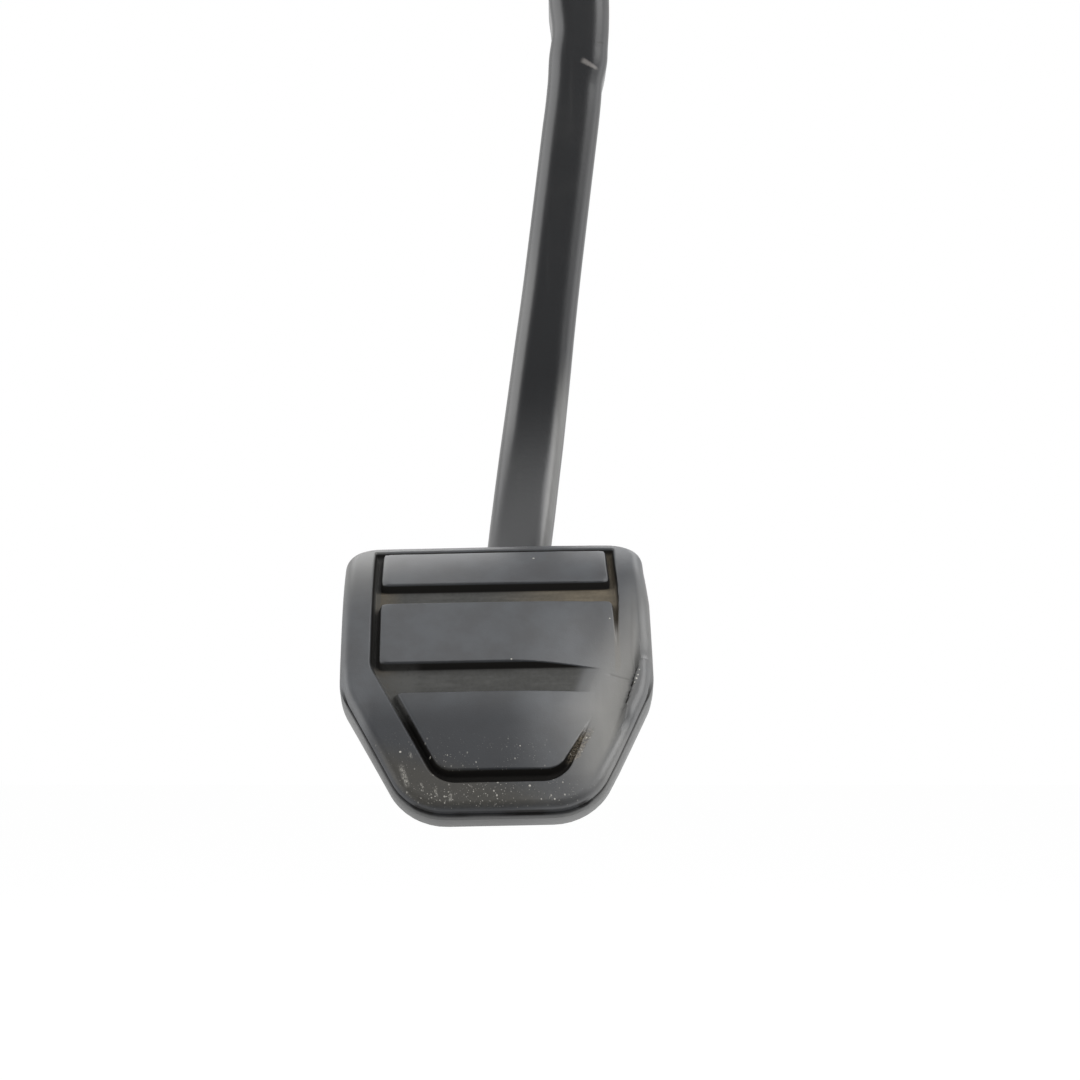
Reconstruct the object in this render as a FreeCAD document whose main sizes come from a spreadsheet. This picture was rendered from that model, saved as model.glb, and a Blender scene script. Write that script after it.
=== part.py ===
"""Brake pedal assembly: a hanging pedal with its bracket, pivot, return spring and stop-light switch.

The frame's origin is the middle of the four bulkhead studs, on the face that meets the bulkhead.
+Y points forward through the bulkhead, +X to the driver's right and +Z up. Sizes are millimetres.
"""
import FreeCAD, Part
import math
import os
import re
import Sketcher
from FreeCAD import Placement, Rotation, Vector

# Every size that can be set by itself: its name, its value and what it measures.
SIZES = (
    ("foot_top", 62.0, "bulkhead plate, height above the studs' middle"),
    ("foot_bottom", 52.0, "bulkhead plate, depth below the studs' middle"),
    ("stud_edge", 14.0, "bulkhead plate, studs to its side edges"),
    ("foot_thick", 3.0, "bulkhead plate"),
    ("foot_corner", 10.0, "bulkhead plate, corner radius"),
    ("stud_across", 84.0, "stud spacing along X"),
    ("stud_rise", 76.0, "stud spacing along Z"),
    ("stud_hole", 4.25, "stud hole radius"),
    ("window_radius", 24.0, "opening for the push rod"),
    ("pivot_back", 95.0, "pivot axis behind the bulkhead face"),
    ("pivot_rise", 70.0, "pivot axis above the push rod"),
    ("cheek_thick", 2.5, "side plates"),
    ("cheek_over_pivot", 26.0, "side plates, reach above the pivot"),
    ("cheek_foot_inset", 8.0, "side plates, lower front corner above the bulkhead plate's edge"),
    ("cheek_below_bar", 1.0, "side plates, reach below the crossbar"),
    ("cheek_slope", 24.0, "side plates, set back of the upper front corner"),
    ("cheek_step", 72.0, "side plates, where the lower edge starts to fall"),
    ("cheek_step_front", 34.0, "side plates, where the lower edge stops falling"),
    ("cheek_margin", 3.0, "side plates, reach behind the crossbar"),
    ("cheek_corner", 8.0, "side plates, corner radius"),
    ("flange_width", 12.0, "weld flanges of the side plates"),
    ("flange_half_rise", 26.0, "weld flanges, half of their height"),
    ("flange_bend", 2.0, "weld flanges, inside bend radius"),
    ("roof_thick", 2.5, "top plate"),
    ("tab_half_width", 22.0, "top plate, half of the rear tab's width"),
    ("tab_reach", 24.0, "top plate, length of the rear tab"),
    ("tab_corner", 6.0, "top plate, corner radius of the rear tab"),
    ("tab_hole", 4.25, "top plate, hole radius for an M8 bolt"),
    ("tab_spacing", 24.0, "top plate, distance between the holes"),
    ("tab_edge", 11.0, "top plate, hole to the rear edge"),
    ("crossbar_thick", 3.0, "crossbar between the side plates"),
    ("crossbar_below_stop", 9.0, "crossbar, reach below the stop buffer's middle"),
    ("crossbar_above_switch", 16.0, "crossbar, reach above the switch's middle"),
    ("switch_below_pivot", 24.0, "stop-light switch below the pivot"),
    ("stop_below_switch", 22.0, "stop buffer below the switch"),
    ("stop_stand", 14.0, "arm's rear face to the crossbar"),
    ("stop_gap", 0.3, "free play between the buffer and the arm"),
    ("stop_radius", 7.0, "stop buffer"),
    ("stop_nose", 4.0, "stop buffer, radius of the flat nose"),
    ("stop_stem", 4.0, "stop buffer, stem through the crossbar"),
    ("stop_barb_step", 1.5, "stop buffer, barb past its stem"),
    ("stop_barb_length", 6.0, "stop buffer, length of the barb"),
    ("barrel_front", 4.0, "switch barrel, reach in front of the crossbar"),
    ("barrel_back", 27.0, "switch barrel, reach behind the crossbar's front"),
    ("shoulder_radius", 9.5, "switch shoulder behind the crossbar"),
    ("shoulder_thick", 2.5, "switch shoulder"),
    ("chamber_back", 24.0, "spring chamber, reach behind the crossbar's front"),
    ("chamber_front", 1.0, "spring chamber, reach in front of the crossbar"),
    ("chamber_play", 0.3, "spring chamber, radial clearance round the plunger's flange"),
    ("barrel_wall", 2.5, "switch barrel round the spring chamber"),
    ("collar_radius", 12.0, "switch collar, flange"),
    ("collar_thick", 2.0, "switch collar, flange"),
    ("collar_wall", 2.0, "switch collar, wall of the sleeve"),
    ("socket_length", 16.0, "switch connector"),
    ("socket_width", 18.0, "switch connector"),
    ("socket_height", 14.0, "switch connector"),
    ("socket_wall", 1.6, "switch connector"),
    ("socket_depth", 12.0, "switch connector, depth of its socket"),
    ("socket_corner", 2.0, "switch connector, corner radius"),
    ("blade_thick", 0.8, "switch terminals"),
    ("blade_height", 5.0, "switch terminals"),
    ("blade_recess", 3.0, "switch terminals, short of the socket's mouth"),
    ("blade_spacing", 7.0, "switch terminals, distance between the two"),
    ("plunger_radius", 2.5, "switch plunger"),
    ("plunger_play", 0.1, "switch plunger, radial clearance in its bore"),
    ("plunger_gap", 0.3, "plunger's nose to the striker"),
    ("plunger_flange", 4.2, "switch plunger, flange radius"),
    ("plunger_flange_thick", 2.0, "switch plunger"),
    ("plunger_seat", 11.0, "plunger's flange behind the crossbar's front"),
    ("plunger_tail", 1.8, "switch plunger, radius of the tail in the spring"),
    ("plunger_tail_length", 4.0, "switch plunger"),
    ("plunger_dome", 1.0, "switch plunger, rounding of the nose"),
    ("light_wire", 0.8, "switch spring, wire"),
    ("light_play", 1.0, "switch spring, radial clearance on the plunger's tail"),
    ("light_turns", 4.5, "switch spring, turns"),
    ("tube_half_length", 26.5, "pivot tube, half of its length"),
    ("bush_flange", 2.0, "pivot bushes, flange"),
    ("bush_play", 0.25, "pivot bushes, end play at each side plate"),
    ("bush_length", 14.0, "pivot bushes, sleeve inside the tube"),
    ("bush_wall", 2.45, "pivot bushes, wall of the sleeve"),
    ("tube_wall", 3.5, "pivot tube of the pedal"),
    ("sleeve_wall", 2.85, "pivot sleeve"),
    ("sleeve_play", 0.05, "pivot bushes, radial clearance on the sleeve"),
    ("bolt_radius", 5.0, "pivot bolt, shank"),
    ("bolt_play", 0.15, "pivot bolt, radial clearance in the sleeve and side plates"),
    ("bolt_seat", 5.5, "pivot bolt and nut, flange past the shank"),
    ("bolt_flange_thick", 2.0, "pivot bolt and nut, flange"),
    ("hex_across", 16.0, "pivot bolt and nut, across the flats"),
    ("hex_height", 7.0, "pivot bolt, head above its flange"),
    ("nut_height", 8.0, "pivot nut, above its flange"),
    ("bolt_end", 2.0, "pivot bolt, reach past the nut"),
    ("spring_wire", 2.5, "return spring, wire"),
    ("spring_play", 1.25, "return spring, radial clearance on the pivot tube"),
    ("spring_hook_drop", 38.0, "return spring, hook on the arm below the pivot"),
    ("spring_arm_gap", 1.25, "return spring, first turn to the arm's side"),
    ("spring_end_inset", 1.0, "return spring, last turn inside the end of the pivot tube"),
    ("spring_turns", 5.0, "return spring, whole turns"),
    ("spring_bend", 3.0, "return spring, bends of its legs"),
    ("spring_gap", 0.1, "return spring, hook to the arm's front face"),
    ("spring_anchor_rise", 18.0, "return spring, length of the leg to its anchor hole"),
    ("anchor_play", 0.2, "return spring, radial clearance in the anchor hole"),
    ("upper_width", 15.0, "pedal arm above the joggle"),
    ("lower_width", 14.1, "pedal arm below the joggle"),
    ("flare_width", 15.4, "pedal arm in its bend"),
    ("arm_depth", 26.0, "pedal arm, front to back"),
    ("arm_end_depth", 18.0, "pedal arm, front to back at the pad"),
    ("arm_wall", 2.0, "pedal arm"),
    ("arm_corner", 4.5, "pedal arm, corner radius of its section"),
    ("arm_lean", 6.87, "pedal arm, lean below the joggle, degrees"),
    ("joggle_drop", 94.0, "joggle below the push rod"),
    ("joggle_lap", 1.0, "joggle, reach of each arm before it is cut to the other"),
    ("straight_length", 61.0, "pedal arm, even run below the joggle"),
    ("flare_length", 17.0, "pedal arm, run above the bend where it widens"),
    ("bend_radius", 75.0, "pedal arm, bend towards the driver"),
    ("bend_angle", 75.0, "pedal arm, bend towards the driver, degrees"),
    ("arm_tail", 30.0, "pedal arm, straight end that is cut to the pad plate"),
    ("pad_aside", -1.2, "pad's crown to the right of the arm's bend end"),
    ("pad_ahead", 13.71, "pad's crown on the driver's side of the bend end"),
    ("pad_lift", 13.16, "pad's crown above the bend end"),
    ("eye_half_length", 10.0, "push rod collar, half of its length"),
    ("eye_wall", 2.5, "push rod collar"),
    ("eye_bush_wall", 1.45, "push rod bush"),
    ("eye_bore", 5.05, "push rod bush, bore for a 10 mm clevis pin"),
    ("striker_half", 8.0, "striker tab, half of its side"),
    ("striker_thick", 2.0, "striker tab"),
    ("button_radius", 6.0, "striker button"),
    ("button_thick", 2.0, "striker button"),
    ("button_stem", 3.0, "striker button, stem radius"),
    ("pad_tilt", 41.0, "pad's crown, slope from upright, degrees"),
    ("pad_roll", 1.4, "pad's roll in its own plane, degrees"),
    ("pad_length", 76.4, "pad, from edge to edge along its curved face"),
    ("pad_half_width", 33.7, "pad, half of its width"),
    ("crown_length", 28.0, "pad, upper edge to the crown along the face"),
    ("upper_bend", 48.6, "pad, face radius above the crown"),
    ("lower_bend", 192.0, "pad, face radius below the crown"),
    ("chamfer_start", 47.5, "pad, upper edge to the lower corners along the face"),
    ("chamfer_angle", 26.8, "pad, lower corners' slope, degrees"),
    ("pad_depth", 8.4, "pad, face to the back of its lip"),
    ("top_corner", 7.5, "pad, upper corner radius"),
    ("side_corner", 16.0, "pad, radius where the side meets the sloping edge"),
    ("bottom_corner", 13.0, "pad, lower corner radius"),
    ("bead_depth", 3.0, "pad, face to the lip's ledge"),
    ("bead_proud", 0.8, "pad, lip's reach past the wall"),
    ("cover_face", 4.4, "rubber over the steel plate"),
    ("pad_steel", 2.4, "steel plate of the pad"),
    ("cover_wall", 2.2, "rubber round the steel plate's edge"),
    ("lip_width", 6.0, "rubber lip behind the steel plate"),
    ("rim_side", 6.0, "raised rim along the sides"),
    ("rim_slope", 8.0, "raised rim along the sloping edges"),
    ("rim_top", 3.7, "raised rim along the upper edge"),
    ("rim_bottom", 6.3, "raised rim along the lower edge"),
    ("rim_edge", 2.0, "raised rim, rounding of its outer edge"),
    ("rim_corner", 7.0, "raised rim, inner radius of its lower corners"),
    ("groove_corner", 1.0, "grooves, corner radius seen from the front"),
    ("groove_depth", 2.5, "grooves round the blocks"),
    ("side_groove", 1.9, "groove between the rim and the blocks' ends"),
    ("top_groove", 1.2, "groove above the first block"),
    ("first_block", 13.5, "first block, along the face"),
    ("first_gap", 6.0, "groove below the first block"),
    ("second_block", 16.7, "second block, along the face"),
    ("second_gap", 7.4, "groove below the second block"),
    ("third_block", 18.9, "third block, along the face"),
)

# Sizes that follow from those, as formulas on their names.
FOLLOWING = {
    "foot_half_width": "stud_across / 2 + stud_edge",
    "cheek_inner": "tube_half_length + bush_flange + bush_play",
    "cheek_outer": "cheek_inner + cheek_thick",
    "cheek_top": "pivot_rise + cheek_over_pivot",
    "cheek_foot": "foot_bottom - cheek_foot_inset",
    "cheek_back": "crossbar_front + crossbar_thick + cheek_margin",
    "cheek_low": "crossbar_bottom - cheek_below_bar",
    "roof_back": "cheek_back + tab_reach",
    "switch_rise": "pivot_rise - switch_below_pivot",
    "stop_rise": "switch_rise - stop_below_switch",
    "stop_barb": "stop_stem + stop_barb_step",
    "stop_nose_reach": "stop_stand - stop_gap",
    "crossbar_front": "arm_rear + stop_stand",
    "crossbar_bottom": "stop_rise - crossbar_below_stop",
    "crossbar_top": "switch_rise + crossbar_above_switch",
    "chamber_radius": "plunger_flange + chamber_play",
    "barrel_radius": "chamber_radius + barrel_wall",
    "collar_sleeve": "barrel_radius + collar_wall",
    "shoulder_back": "crossbar_thick + shoulder_thick",
    "socket_back": "barrel_back + socket_length",
    "socket_floor": "socket_back - socket_depth",
    "blade_length": "socket_depth - blade_recess",
    "plunger_bore": "plunger_radius + plunger_play",
    "plunger_back": "plunger_seat + plunger_flange_thick",
    "plunger_nose": "striker_face - plunger_gap",
    "light_coil": "plunger_tail + light_play + light_wire / 2",
    "striker_face": "stop_stand - striker_thick - button_thick",
    "bolt_bore": "bolt_radius + bolt_play",
    "bolt_flange": "bolt_radius + bolt_seat",
    "bolt_seat_outer": "cheek_outer + bolt_flange_thick",
    "bolt_tip": "bolt_seat_outer + nut_height + bolt_end",
    "sleeve_radius": "bolt_bore + sleeve_wall",
    "bush_bore": "sleeve_radius + sleeve_play",
    "tube_bore": "bush_bore + bush_wall",
    "tube_radius": "tube_bore + tube_wall",
    "spring_coil": "tube_radius + spring_play + spring_wire / 2",
    "spring_inner_end": "upper_width / 2 + spring_arm_gap + spring_wire / 2",
    "spring_outer_end": "tube_half_length - spring_end_inset",
    "spring_hook_reach": "arm_depth / 2 + spring_gap + spring_wire / 2",
    "spring_touch": "acos(spring_coil / sqrt(spring_hook_reach ^ 2 + spring_hook_drop ^ 2))"
                    " - atan(spring_hook_drop / spring_hook_reach)",
    "anchor_ahead": "spring_coil * cos(spring_touch) - spring_anchor_rise * sin(spring_touch)",
    "anchor_above": "spring_coil * sin(spring_touch) + spring_anchor_rise * cos(spring_touch)",
    "arm_rear": "pivot_back + arm_depth / 2",
    "bend_start": "straight_length + flare_length",
    "eye_bush_radius": "eye_bore + eye_bush_wall",
    "eye_radius": "eye_bush_radius + eye_wall",
}

ALONG_X = Rotation()
ALONG_Y = Rotation(Vector(0, 0, 1), 90)

# A length past the whole part, a cut's reach past a face, and the error allowed where places are compared
SURE_REACH = 400.0
CLEAR = 1.0
NEAR = 0.01

document = FreeCAD.newDocument("BrakePedal")
sheet = document.addObject("Spreadsheet::Sheet", "Sizes")
for row, (name, number, meaning) in enumerate(SIZES, start=1):
    sheet.set(f"A{row}", name)
    sheet.set(f"B{row}", str(number))
    sheet.set(f"C{row}", meaning)
    sheet.setAlias(f"B{row}", name)
document.recompute()


def formula(text):
    """Write a formula on size names as one on the sheet's cells."""
    def cell(match):
        name = match.group(0)
        return f"({formula(FOLLOWING[name])})" if name in FOLLOWING else f"Sizes.{name}"
    return re.sub(r"\b[a-z]+(?:_[a-z]+)+\b", cell, text)


def size(text):
    """The present value of a formula."""
    return float(sheet.evalExpression(formula(text)))


def bind(target, field, text):
    """Tie one field of an object to a formula on the sheet."""
    target.setExpression(field, formula(text))


# Bodies, sketches and features
def new_body(label, place=("0", "0", "0"), turn=ALONG_X):
    """A body of its own, with its place tied to the sheet."""
    body = document.addObject("PartDesign::Body", label)
    body.Label = label
    body.Placement = Placement(Vector(*(size(text) for text in place)), turn)
    for axis, text in zip("xyz", place):
        bind(body, f"Placement.Base.{axis}", text)
    return body


def new_sketch(body, role, name, offset="0", shift=None, tilt=None):
    """A sketch on one of the body's origin planes, moved along its normal or tilted about an axis."""
    sketch = body.newObject("Sketcher::SketchObject", name)
    plane = next(item for item in body.Origin.OriginFeatures if item.Role == role)
    sketch.AttachmentSupport = [(plane, "")]
    sketch.MapMode = "FlatFace"
    shift = shift or ("0", "0", offset)
    axis, angle = tilt or (Vector(0, 0, 1), "0")
    turn = Rotation(axis, size(angle)) if tilt else Rotation()
    sketch.AttachmentOffset = Placement(Vector(*(size(text) for text in shift)), turn)
    for letter, text in zip("xyz", shift):
        bind(sketch, f"AttachmentOffset.Base.{letter}", text)
    if tilt:
        bind(sketch, "AttachmentOffset.Rotation.Angle", angle)
    return sketch


def constrain(sketch, kind, *where, to=None):
    """One constraint, tied to a formula where it has a size."""
    if to is None:
        return sketch.addConstraint(Sketcher.Constraint(kind, *where))
    index = sketch.addConstraint(Sketcher.Constraint(kind, *where, size(to)))
    bind(sketch, f"Constraints[{index}]", to)
    return index


def place_point(sketch, element, point, across, up):
    """Hold one point of a sketch at two formulas."""
    origin = (-1, 1)
    constrain(sketch, "DistanceX", *origin, element, point, to=across)
    constrain(sketch, "DistanceY", *origin, element, point, to=up)


def draw_polygon(sketch, corners):
    """A closed outline of straight lines, each corner held by two formulas."""
    places = [Vector(size(across), size(up), 0) for across, up in corners]
    count = len(places)
    first = sketch.GeometryCount
    for index, start in enumerate(places):
        sketch.addGeometry(Part.LineSegment(start, places[(index + 1) % count]))
    for index in range(count):
        constrain(sketch, "Coincident", first + index, 2, first + (index + 1) % count, 1)
    for index, (across, up) in enumerate(corners):
        place_point(sketch, first + index, 1, across, up)


def draw_circle(sketch, across, up, radius):
    """A circle held by its centre and radius."""
    circle = Part.Circle(Vector(size(across), size(up), 0), Vector(0, 0, 1), size(radius))
    index = sketch.addGeometry(circle)
    place_point(sketch, index, 3, across, up)
    constrain(sketch, "Radius", index, to=radius)


def draw_rounded_box(sketch, width, height, corner):
    """A rectangle about the sketch's origin with four equal round corners."""
    half_width = size(width) / 2
    half_height = size(height) / 2
    radius = size(corner)
    lines = []
    arcs = []
    for quarter in range(4):
        turn = quarter * math.pi / 2
        reach_x, reach_y = (half_width, half_height) if quarter % 2 == 0 else (half_height, half_width)
        spin = Rotation(Vector(0, 0, 1), math.degrees(turn))
        start = spin.multVec(Vector(reach_x, radius - reach_y, 0))
        end = spin.multVec(Vector(reach_x, reach_y - radius, 0))
        centre = spin.multVec(Vector(reach_x - radius, reach_y - radius, 0))
        lines.append(sketch.addGeometry(Part.LineSegment(start, end)))
        circle = Part.Circle(centre, Vector(0, 0, 1), radius)
        arcs.append(sketch.addGeometry(Part.ArcOfCircle(circle, turn, turn + math.pi / 2)))
    for quarter in range(4):
        following = lines[(quarter + 1) % 4]
        constrain(sketch, "Tangent", lines[quarter], 2, arcs[quarter], 1)
        constrain(sketch, "Tangent", arcs[quarter], 2, following, 1)
        constrain(sketch, "Horizontal" if quarter % 2 else "Vertical", lines[quarter])
    for arc in arcs[1:]:
        constrain(sketch, "Equal", arcs[0], arc)
    constrain(sketch, "Radius", arcs[0], to=corner)
    constrain(sketch, "DistanceX", -1, 1, lines[0], 1, to=f"({width}) / 2")
    constrain(sketch, "DistanceY", -1, 1, lines[1], 1, to=f"({height}) / 2")
    constrain(sketch, "DistanceX", -1, 1, lines[2], 1, to=f"-({width}) / 2")
    constrain(sketch, "DistanceY", -1, 1, lines[3], 1, to=f"-({height}) / 2")


def extrude(body, sketch, length, back=False):
    """Pad a sketch along its normal, or against it."""
    feature = body.newObject("PartDesign::Pad", sketch.Name + "Pad")
    feature.Profile = sketch
    feature.Length = size(length)
    bind(feature, "Length", length)
    feature.Reversed = back
    document.recompute()
    return feature


def cut_through(body, sketch):
    """Cut a sketch right through the body, both ways."""
    before = body.Shape.Volume
    feature = body.newObject("PartDesign::Pocket", sketch.Name + "Pocket")
    feature.Profile = sketch
    feature.Type = "ThroughAll"
    feature.SideType = "Symmetric"
    document.recompute()
    require_less(body, before)
    return feature


def cut_in(body, sketch, depth, back=False):
    """Cut a sketch to a depth, against its normal or along it."""
    before = body.Shape.Volume
    feature = body.newObject("PartDesign::Pocket", sketch.Name + "Pocket")
    feature.Profile = sketch
    feature.Length = size(depth)
    bind(feature, "Length", depth)
    feature.Reversed = back
    document.recompute()
    require_less(body, before)
    return feature


def require_less(body, before):
    """A cut has to take something away."""
    if body.Shape.Volume >= before:
        raise RuntimeError(f"{body.Label}: a cut misses the solid")


def round_edges(body, radius, chosen):
    """Fillet the edges of the body's last feature that a test picks."""
    base = body.Tip
    names = [f"Edge{index}" for index, edge in enumerate(base.Shape.Edges, start=1) if chosen(edge)]
    if not names:
        raise RuntimeError(f"{body.Label}: no edge to round")
    feature = body.newObject("PartDesign::Fillet", body.Name + "Round")
    feature.Base = (base, names)
    feature.Radius = size(radius)
    bind(feature, "Radius", radius)
    document.recompute()
    return feature


def runs_along(axis):
    """A test for straight edges along one axis of the body."""
    def chosen(edge):
        if edge.Curve.TypeId != "Part::GeomLine":
            return False
        direction = edge.Curve.Direction
        return abs(abs(direction.dot(axis)) - 1) < NEAR ** 2
    return chosen


def turned(label, profile, place=("0", "0", "0"), turn=ALONG_X):
    """A body of revolution about its own X axis, from (along, radius) corners."""
    body = new_body(label, place, turn)
    sketch = new_sketch(body, "XY_Plane", label + "_profile")
    draw_polygon(sketch, profile)
    feature = body.newObject("PartDesign::Revolution", label + "_turn")
    feature.Profile = sketch
    feature.ReferenceAxis = (sketch, ["H_Axis"])
    feature.Angle = 360
    document.recompute()
    return body


# Bracket
def build_bulkhead_plate():
    """The flat plate that the bulkhead studs clamp."""
    body = new_body("bulkhead_plate")
    outline = new_sketch(body, "XZ_Plane", "foot_outline")
    draw_polygon(outline, (
        ("-foot_half_width", "-foot_bottom"),
        ("foot_half_width", "-foot_bottom"),
        ("foot_half_width", "foot_top"),
        ("-foot_half_width", "foot_top"),
    ))
    extrude(body, outline, "foot_thick")
    round_edges(body, "foot_corner", runs_along(Vector(0, 1, 0)))
    holes = new_sketch(body, "XZ_Plane", "foot_holes")
    for across in ("-stud_across / 2", "stud_across / 2"):
        for up in ("-stud_rise / 2", "stud_rise / 2"):
            draw_circle(holes, across, up, "stud_hole")
    draw_circle(holes, "0", "0", "window_radius")
    cut_through(body, holes)
    return body


def build_cheek(label, right):
    """One side plate, with its weld flange folded outwards onto the bulkhead plate."""
    sign = "" if right else "-"
    body = new_body(label)
    outline = new_sketch(body, "YZ_Plane", label + "_outline", f"{sign}cheek_inner")
    draw_polygon(outline, (
        ("-foot_thick", "-cheek_foot"),
        ("-foot_thick", "foot_top"),
        ("-cheek_slope", "cheek_top"),
        ("-cheek_back", "cheek_top"),
        ("-cheek_back", "cheek_low"),
        ("-cheek_step", "cheek_low"),
        ("-cheek_step_front", "-cheek_foot"),
    ))
    extrude(body, outline, "cheek_thick", back=not right)
    front = -size("foot_thick")
    along = runs_along(Vector(1, 0, 0))
    round_edges(body, "cheek_corner", lambda edge: along(edge) and edge.CenterOfMass.y < front - NEAR)
    flange = new_sketch(body, "XZ_Plane", label + "_flange", "foot_thick")
    inner = f"{sign}cheek_inner"
    outer = f"{sign}(cheek_outer + flange_width)"
    draw_polygon(flange, (
        (inner, "-flange_half_rise"),
        (outer, "-flange_half_rise"),
        (outer, "flange_half_rise"),
        (inner, "flange_half_rise"),
    ))
    extrude(body, flange, "cheek_thick")
    fold = size(f"{sign}cheek_outer")
    level = -size("foot_thick + cheek_thick")
    upright = runs_along(Vector(0, 0, 1))
    round_edges(body, "flange_bend", lambda edge: upright(edge)
                and abs(edge.CenterOfMass.x - fold) < NEAR and abs(edge.CenterOfMass.y - level) < NEAR)
    holes = new_sketch(body, "YZ_Plane", label + "_holes")
    draw_circle(holes, "-pivot_back", "pivot_rise", "bolt_bore")
    if right:
        draw_circle(holes, "anchor_ahead - pivot_back", "pivot_rise + anchor_above",
                    "spring_wire / 2 + anchor_play")
    cut_through(body, holes)
    return body


def build_top_plate():
    """The plate across the side plates, with a rear tab for the two upper bolts."""
    body = new_body("top_plate", ("0", "0", "cheek_top"))
    outline = new_sketch(body, "XY_Plane", "roof_outline")
    draw_polygon(outline, (
        ("cheek_outer", "-cheek_slope"),
        ("-cheek_outer", "-cheek_slope"),
        ("-cheek_outer", "-cheek_back"),
        ("-tab_half_width", "-cheek_back"),
        ("-tab_half_width", "-roof_back"),
        ("tab_half_width", "-roof_back"),
        ("tab_half_width", "-cheek_back"),
        ("cheek_outer", "-cheek_back"),
    ))
    extrude(body, outline, "roof_thick")
    upright = runs_along(Vector(0, 0, 1))
    shoulder = -size("cheek_back")
    round_edges(body, "tab_corner", lambda edge: upright(edge)
                and abs(edge.CenterOfMass.y - shoulder) > NEAR)
    holes = new_sketch(body, "XY_Plane", "roof_holes")
    for across in ("-tab_spacing / 2", "tab_spacing / 2"):
        draw_circle(holes, across, "tab_edge - roof_back", "tab_hole")
    cut_through(body, holes)
    return body


def build_stop_crossbar():
    """The bar between the side plates that carries the stop buffer and the switch."""
    body = new_body("stop_crossbar")
    outline = new_sketch(body, "XZ_Plane", "crossbar_outline", "crossbar_front")
    draw_polygon(outline, (
        ("-cheek_inner", "crossbar_bottom"),
        ("cheek_inner", "crossbar_bottom"),
        ("cheek_inner", "crossbar_top"),
        ("-cheek_inner", "crossbar_top"),
    ))
    extrude(body, outline, "crossbar_thick")
    holes = new_sketch(body, "XZ_Plane", "crossbar_holes", "crossbar_front")
    draw_circle(holes, "0", "stop_rise", "stop_stem")
    draw_circle(holes, "0", "switch_rise", "collar_sleeve")
    cut_through(body, holes)
    return body


def build_stop_buffer():
    """The rubber stop that the released arm rests against."""
    return turned("stop_buffer", (
        ("-(crossbar_thick + stop_barb_length)", "0"),
        ("-(crossbar_thick + stop_barb_length)", "stop_stem / 2"),
        ("-crossbar_thick", "stop_barb"),
        ("-crossbar_thick", "stop_stem"),
        ("0", "stop_stem"),
        ("0", "stop_radius"),
        ("stop_nose_reach - (stop_radius - stop_nose)", "stop_radius"),
        ("stop_nose_reach", "stop_nose"),
        ("stop_nose_reach", "0"),
    ), ("0", "-crossbar_front", "stop_rise"), ALONG_Y)


# Stop-light switch, whose own X axis points forward with its zero on the crossbar's front face
SWITCH_PLACE = ("0", "-crossbar_front", "switch_rise")


def build_switch_collar():
    """The plastic collar that grips the switch barrel in the crossbar."""
    return turned("switch_collar", (
        ("-crossbar_thick", "barrel_radius"),
        ("-crossbar_thick", "collar_sleeve"),
        ("0", "collar_sleeve"),
        ("0", "collar_radius"),
        ("collar_thick", "collar_radius"),
        ("collar_thick", "barrel_radius"),
    ), SWITCH_PLACE, ALONG_Y)


def build_switch_housing():
    """The switch body: a barrel with a spring chamber, and a connector socket behind it."""
    body = turned("switch_housing", (
        ("-barrel_back", "0"),
        ("-barrel_back", "barrel_radius"),
        ("-shoulder_back", "barrel_radius"),
        ("-shoulder_back", "shoulder_radius"),
        ("-crossbar_thick", "shoulder_radius"),
        ("-crossbar_thick", "barrel_radius"),
        ("barrel_front", "barrel_radius"),
        ("barrel_front", "plunger_bore"),
        ("chamber_front", "plunger_bore"),
        ("chamber_front", "chamber_radius"),
        ("-chamber_back", "chamber_radius"),
        ("-chamber_back", "0"),
    ), SWITCH_PLACE, ALONG_Y)
    block = new_sketch(body, "YZ_Plane", "socket_outline", "-barrel_back")
    draw_rounded_box(block, "socket_width", "socket_height", "socket_corner")
    extrude(body, block, "socket_length", back=True)
    mouth = new_sketch(body, "YZ_Plane", "socket_mouth", "-socket_back")
    draw_rounded_box(mouth, "socket_width - 2 * socket_wall", "socket_height - 2 * socket_wall",
                     "socket_corner / 2")
    cut_in(body, mouth, "socket_depth", back=True)
    return body


def build_switch_terminals():
    """The two flat blades in the connector socket."""
    blades = []
    for side, across in (("left", "-blade_spacing / 2"), ("right", "blade_spacing / 2")):
        blade = document.addObject("Part::Box", f"{side}_blade")
        for field, text in (("Length", "blade_thick"), ("Width", "blade_length"), ("Height", "blade_height"),
                            ("Placement.Base.x", f"{across} - blade_thick / 2"),
                            ("Placement.Base.y", "-(crossbar_front + socket_floor + blade_length)"),
                            ("Placement.Base.z", "switch_rise - blade_height / 2")):
            bind(blade, field, text)
        blades.append(blade)
    return group_of("switch_terminals", blades)


def group_of(label, members):
    """Several separate solids under one name."""
    group = document.addObject("Part::Compound", label)
    group.Label = label
    group.Links = members
    return group


def build_switch_plunger():
    """The sliding plunger that follows the pedal's striker."""
    return turned("switch_plunger", (
        ("-(plunger_back + plunger_tail_length)", "0"),
        ("-(plunger_back + plunger_tail_length)", "plunger_tail"),
        ("-plunger_back", "plunger_tail"),
        ("-plunger_back", "plunger_flange"),
        ("-plunger_seat", "plunger_flange"),
        ("-plunger_seat", "plunger_radius"),
        ("plunger_nose - plunger_dome", "plunger_radius"),
        ("plunger_nose", "plunger_radius - plunger_dome"),
        ("plunger_nose", "0"),
    ), SWITCH_PLACE, ALONG_Y)


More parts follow.
